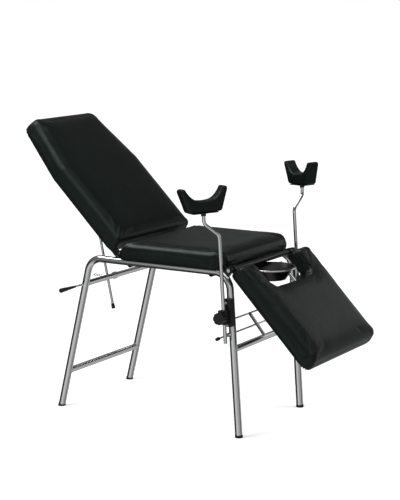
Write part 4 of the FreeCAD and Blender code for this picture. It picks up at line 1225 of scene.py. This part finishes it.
@dataclass
class Studio:
    """White studio with soft lamps, and a room with soft boxes that only reflections see.

    Attributes:
        azimuth: camera azimuth in degrees, 0 looks along +Y.
        elevation: camera elevation in degrees.
        roll: camera roll in degrees.
        place: camera position in metres.
        focal_pixels: focal length in pixels of the 400 by 500 image.
        low_bands: brightness of the room near and below the horizon, by heading.
        middle_bands: brightness of the room above the horizon, by heading.
        high_bands: brightness of the room's ceiling, by heading.
        lamps: the key and the fill, and a small lamp that only the foot section mirrors.
        ambient: strength of the light from all round.
        floor_grey: the floor's own brightness.
        glow_span: distances from the couch over which the floor's glow rises.
        glow: the floor's glow near and far, which keeps it white and its shadow visible.
    """

    azimuth: float = 32.7125
    elevation: float = 10.1775
    roll: float = -0.5394
    place: Point3 = (3.5367, -5.4447, 1.9084)
    focal_pixels: float = 1463.62
    low_bands: Sequence[Point2] = (
        (-180.0, 0.4), (-156.0, 0.3), (-146.0, 0.02), (-46.0, 0.02), (-26.0, 0.4), (0.0, 0.62), (26.0, 0.5),
        (40.0, 0.36), (86.0, 0.33), (98.0, 0.1), (122.0, 0.1), (136.0, 0.38), (170.0, 0.4), (180.0, 0.4))
    middle_bands: Sequence[Point2] = (
        (-180.0, 0.12), (-160.0, 0.2), (-138.0, 0.2), (-128.0, 0.05), (-98.0, 0.05), (-84.0, 0.15),
        (-50.0, 0.15), (-20.0, 0.15), (0.0, 0.12), (40.0, 0.1), (100.0, 0.08), (130.0, 0.02),
        (168.0, 0.02), (180.0, 0.12))
    high_bands: Sequence[Point2] = (
        (-180.0, 0.05), (-128.0, 0.05), (-92.0, 0.05), (-82.0, 10.0), (-60.0, 10.0), (-50.0, 0.5),
        (20.0, 1.0), (110.0, 1.0), (134.0, 0.05), (180.0, 0.05))
    lamps: Sequence[Lamp] = (
        Lamp("key", (-1.6, -2.6, 3.6), (0.0, 0.0, 0.7), 2.6, 130.0),
        Lamp("fill", (2.8, 1.8, 3.2), (0.0, 0.0, 0.7), 2.2, 60.0),
        Lamp("foot_glow", (0.98, 1.24, 1.18), (0.66, 0.0, 0.4), 0.8, 1.0, mirrored=True))
    ambient: float = 0.45
    floor_grey: float = 0.82
    glow_span: Point2 = (1.0, 5.0)
    glow: Point2 = (0.47, 0.7)

    def build(self) -> None:
        """Build camera, world, floor, lamps and the reflected room."""
        self._camera()
        self._world()
        self._floor()
        for lamp in self.lamps:
            lamp.build()
        self._dome()
        bpy.context.scene.view_settings.view_transform = "Standard"

    def _camera(self) -> None:
        """Place the camera at the photograph's viewpoint."""
        sensor, image_height = 36.0, 500.0
        data = bpy.data.cameras.new("camera")
        data.sensor_width = sensor
        data.lens = self.focal_pixels / image_height * sensor
        data.clip_end = 100.0
        turn, rise, roll = (math.radians(value) for value in (self.azimuth, self.elevation, self.roll))
        back = Vector((math.sin(turn) * math.cos(rise), -math.cos(turn) * math.cos(rise), math.sin(rise)))
        right = Vector((math.cos(turn), math.sin(turn), 0.0))
        up = back.cross(right)
        tilted_right = right * math.cos(roll) + up * math.sin(roll)
        tilted_up = back.cross(tilted_right)
        camera = bpy.data.objects.new("camera", data)
        matrix = Matrix((tilted_right, tilted_up, back)).transposed().to_4x4()
        matrix.translation = Vector(self.place)
        camera.matrix_world = matrix
        bpy.context.scene.collection.objects.link(camera)
        bpy.context.scene.camera = camera

    def _world(self) -> None:
        """Light the scene softly and show plain white behind it."""
        world = bpy.data.worlds.new("studio")
        world.use_nodes = True
        bpy.context.scene.world = world
        tree = world.node_tree
        background = tree.nodes["Background"]
        background.inputs["Color"].default_value = (1.0, 1.0, 1.0, 1.0)
        path = tree.nodes.new("ShaderNodeLightPath")
        seen = math_node(tree, "MAXIMUM", path.outputs["Is Camera Ray"], path.outputs["Is Glossy Ray"])
        seen = math_node(tree, "MAXIMUM", seen, path.outputs["Is Transmission Ray"])
        gain = math_node(tree, "MULTIPLY", seen, 1.0 - self.ambient)
        tree.links.new(math_node(tree, "ADD", gain, self.ambient), background.inputs["Strength"])

    def _floor(self) -> None:
        """Lay a plain white floor that keeps the shadow."""
        mesh = bmesh.new()
        bmesh.ops.create_grid(mesh, x_segments=1, y_segments=1, size=30.0)
        floor = to_object(mesh, "floor")
        material, shader = new_material("floor_white")
        tree = material.node_tree
        shader.inputs["Base Color"].default_value = (self.floor_grey, self.floor_grey, self.floor_grey, 1.0)
        shader.inputs["Roughness"].default_value = 0.9
        shader.inputs["Emission Color"].default_value = (1.0, 1.0, 1.0, 1.0)
        path = tree.nodes.new("ShaderNodeLightPath")
        seen = math_node(tree, "MAXIMUM", path.outputs["Is Camera Ray"], path.outputs["Is Glossy Ray"])
        place = tree.nodes.new("ShaderNodeTexCoord")
        away = tree.nodes.new("ShaderNodeVectorMath")
        away.operation = "LENGTH"
        tree.links.new(place.outputs["Object"], away.inputs[0])
        glow = map_range(tree, away.outputs["Value"], self.glow_span, self.glow)
        tree.links.new(math_node(tree, "MULTIPLY", seen, glow), shader.inputs["Emission Strength"])
        floor.data.materials.append(material)
        floor.visible_glossy = False

    def _dome(self) -> None:
        """Set the room that only reflections see: soft boxes and dark walls, by heading and height."""
        wall_blend, ceiling_blend = (0.12, 0.32), (0.64, 0.78)
        mesh = bmesh.new()
        bmesh.ops.create_uvsphere(mesh, u_segments=64, v_segments=32, radius=6.0)
        dome = to_object(mesh, "reflection_room")
        dome.location = (0.0, 0.0, 0.6)
        shade_smooth(dome)
        material, shader = new_material("reflection_room")
        tree = material.node_tree
        nodes, links = tree.nodes, tree.links
        shader.inputs["Base Color"].default_value = (0.0, 0.0, 0.0, 1.0)
        shader.inputs["Roughness"].default_value = 1.0
        shader.inputs["Emission Strength"].default_value = 1.0
        place = nodes.new("ShaderNodeTexCoord")
        unit = nodes.new("ShaderNodeVectorMath")
        unit.operation = "NORMALIZE"
        links.new(place.outputs["Object"], unit.inputs[0])
        split = nodes.new("ShaderNodeSeparateXYZ")
        links.new(unit.outputs[0], split.inputs[0])
        toward = math_node(tree, "MULTIPLY", split.outputs["Y"], -1.0)
        turn = math_node(tree, "ARCTAN2", split.outputs["X"], toward)
        share = math_node(tree, "ADD", math_node(tree, "DIVIDE", turn, 2 * math.pi), 0.5)
        levels = (self.low_bands, self.middle_bands, self.high_bands)
        low, middle, high = (self._bands(tree, share, bands) for bands in levels)
        wall = self._zone(tree, split.outputs["Z"], wall_blend, low, middle)
        whole = self._zone(tree, split.outputs["Z"], ceiling_blend, wall, high)
        links.new(whole, shader.inputs["Emission Color"])
        dome.data.materials.append(material)
        for ray in ("camera", "diffuse", "shadow", "transmission"):
            setattr(dome, "visible_" + ray, False)

    def _zone(self, tree: Tree, rise: Socket, limits: Point2, below: Socket,
              above: Socket) -> Socket:
        """Return one brightness below a height of the room and another above it.

        Args:
            tree: the tree that gets the nodes.
            rise: sine of the elevation.
            limits: sines between which the two blend.
            below: brightness below.
            above: brightness above.

        Returns:
            The blended brightness.
        """
        blend = tree.nodes.new("ShaderNodeMix")
        blend.data_type = "RGBA"
        sockets = [socket for socket in blend.inputs if socket.enabled]
        for source, socket in zip((map_range(tree, rise, limits, smooth=True), below, above), sockets):
            tree.links.new(source, socket)
        return next(socket for socket in blend.outputs if socket.enabled)

    def _bands(self, tree: Tree, share: Socket, bands: Sequence[Point2]) -> Socket:
        """Return the brightness of the room's wall along its heading.

        Args:
            tree: the tree that gets the node.
            share: heading as a share of a full turn.
            bands: headings in degrees and the brightness there.

        Returns:
            The brightness.
        """
        ramp = tree.nodes.new("ShaderNodeValToRGB")
        tree.links.new(share, ramp.inputs["Fac"])
        stops = ramp.color_ramp.elements
        while len(stops) < len(bands):
            stops.new(0.5)
        for stop, (heading, _) in zip(stops, bands):
            stop.position = (heading + 180.0) / 360.0
        for stop, (_, level) in zip(stops, bands):
            stop.color = (level, level, level, 1.0)
        return ramp.outputs["Color"]


def main() -> None:
    """Dress the couch and set its stage."""
    logging.basicConfig(level=logging.INFO)
    finishes = Finishes()
    dress_nodes(finishes)
    Upholstery().build(finishes)
    Welds().build(finishes.chrome)
    FootCaps().build(finishes.rubber)
    Studio().build()


if __name__ == "__main__":
    main()
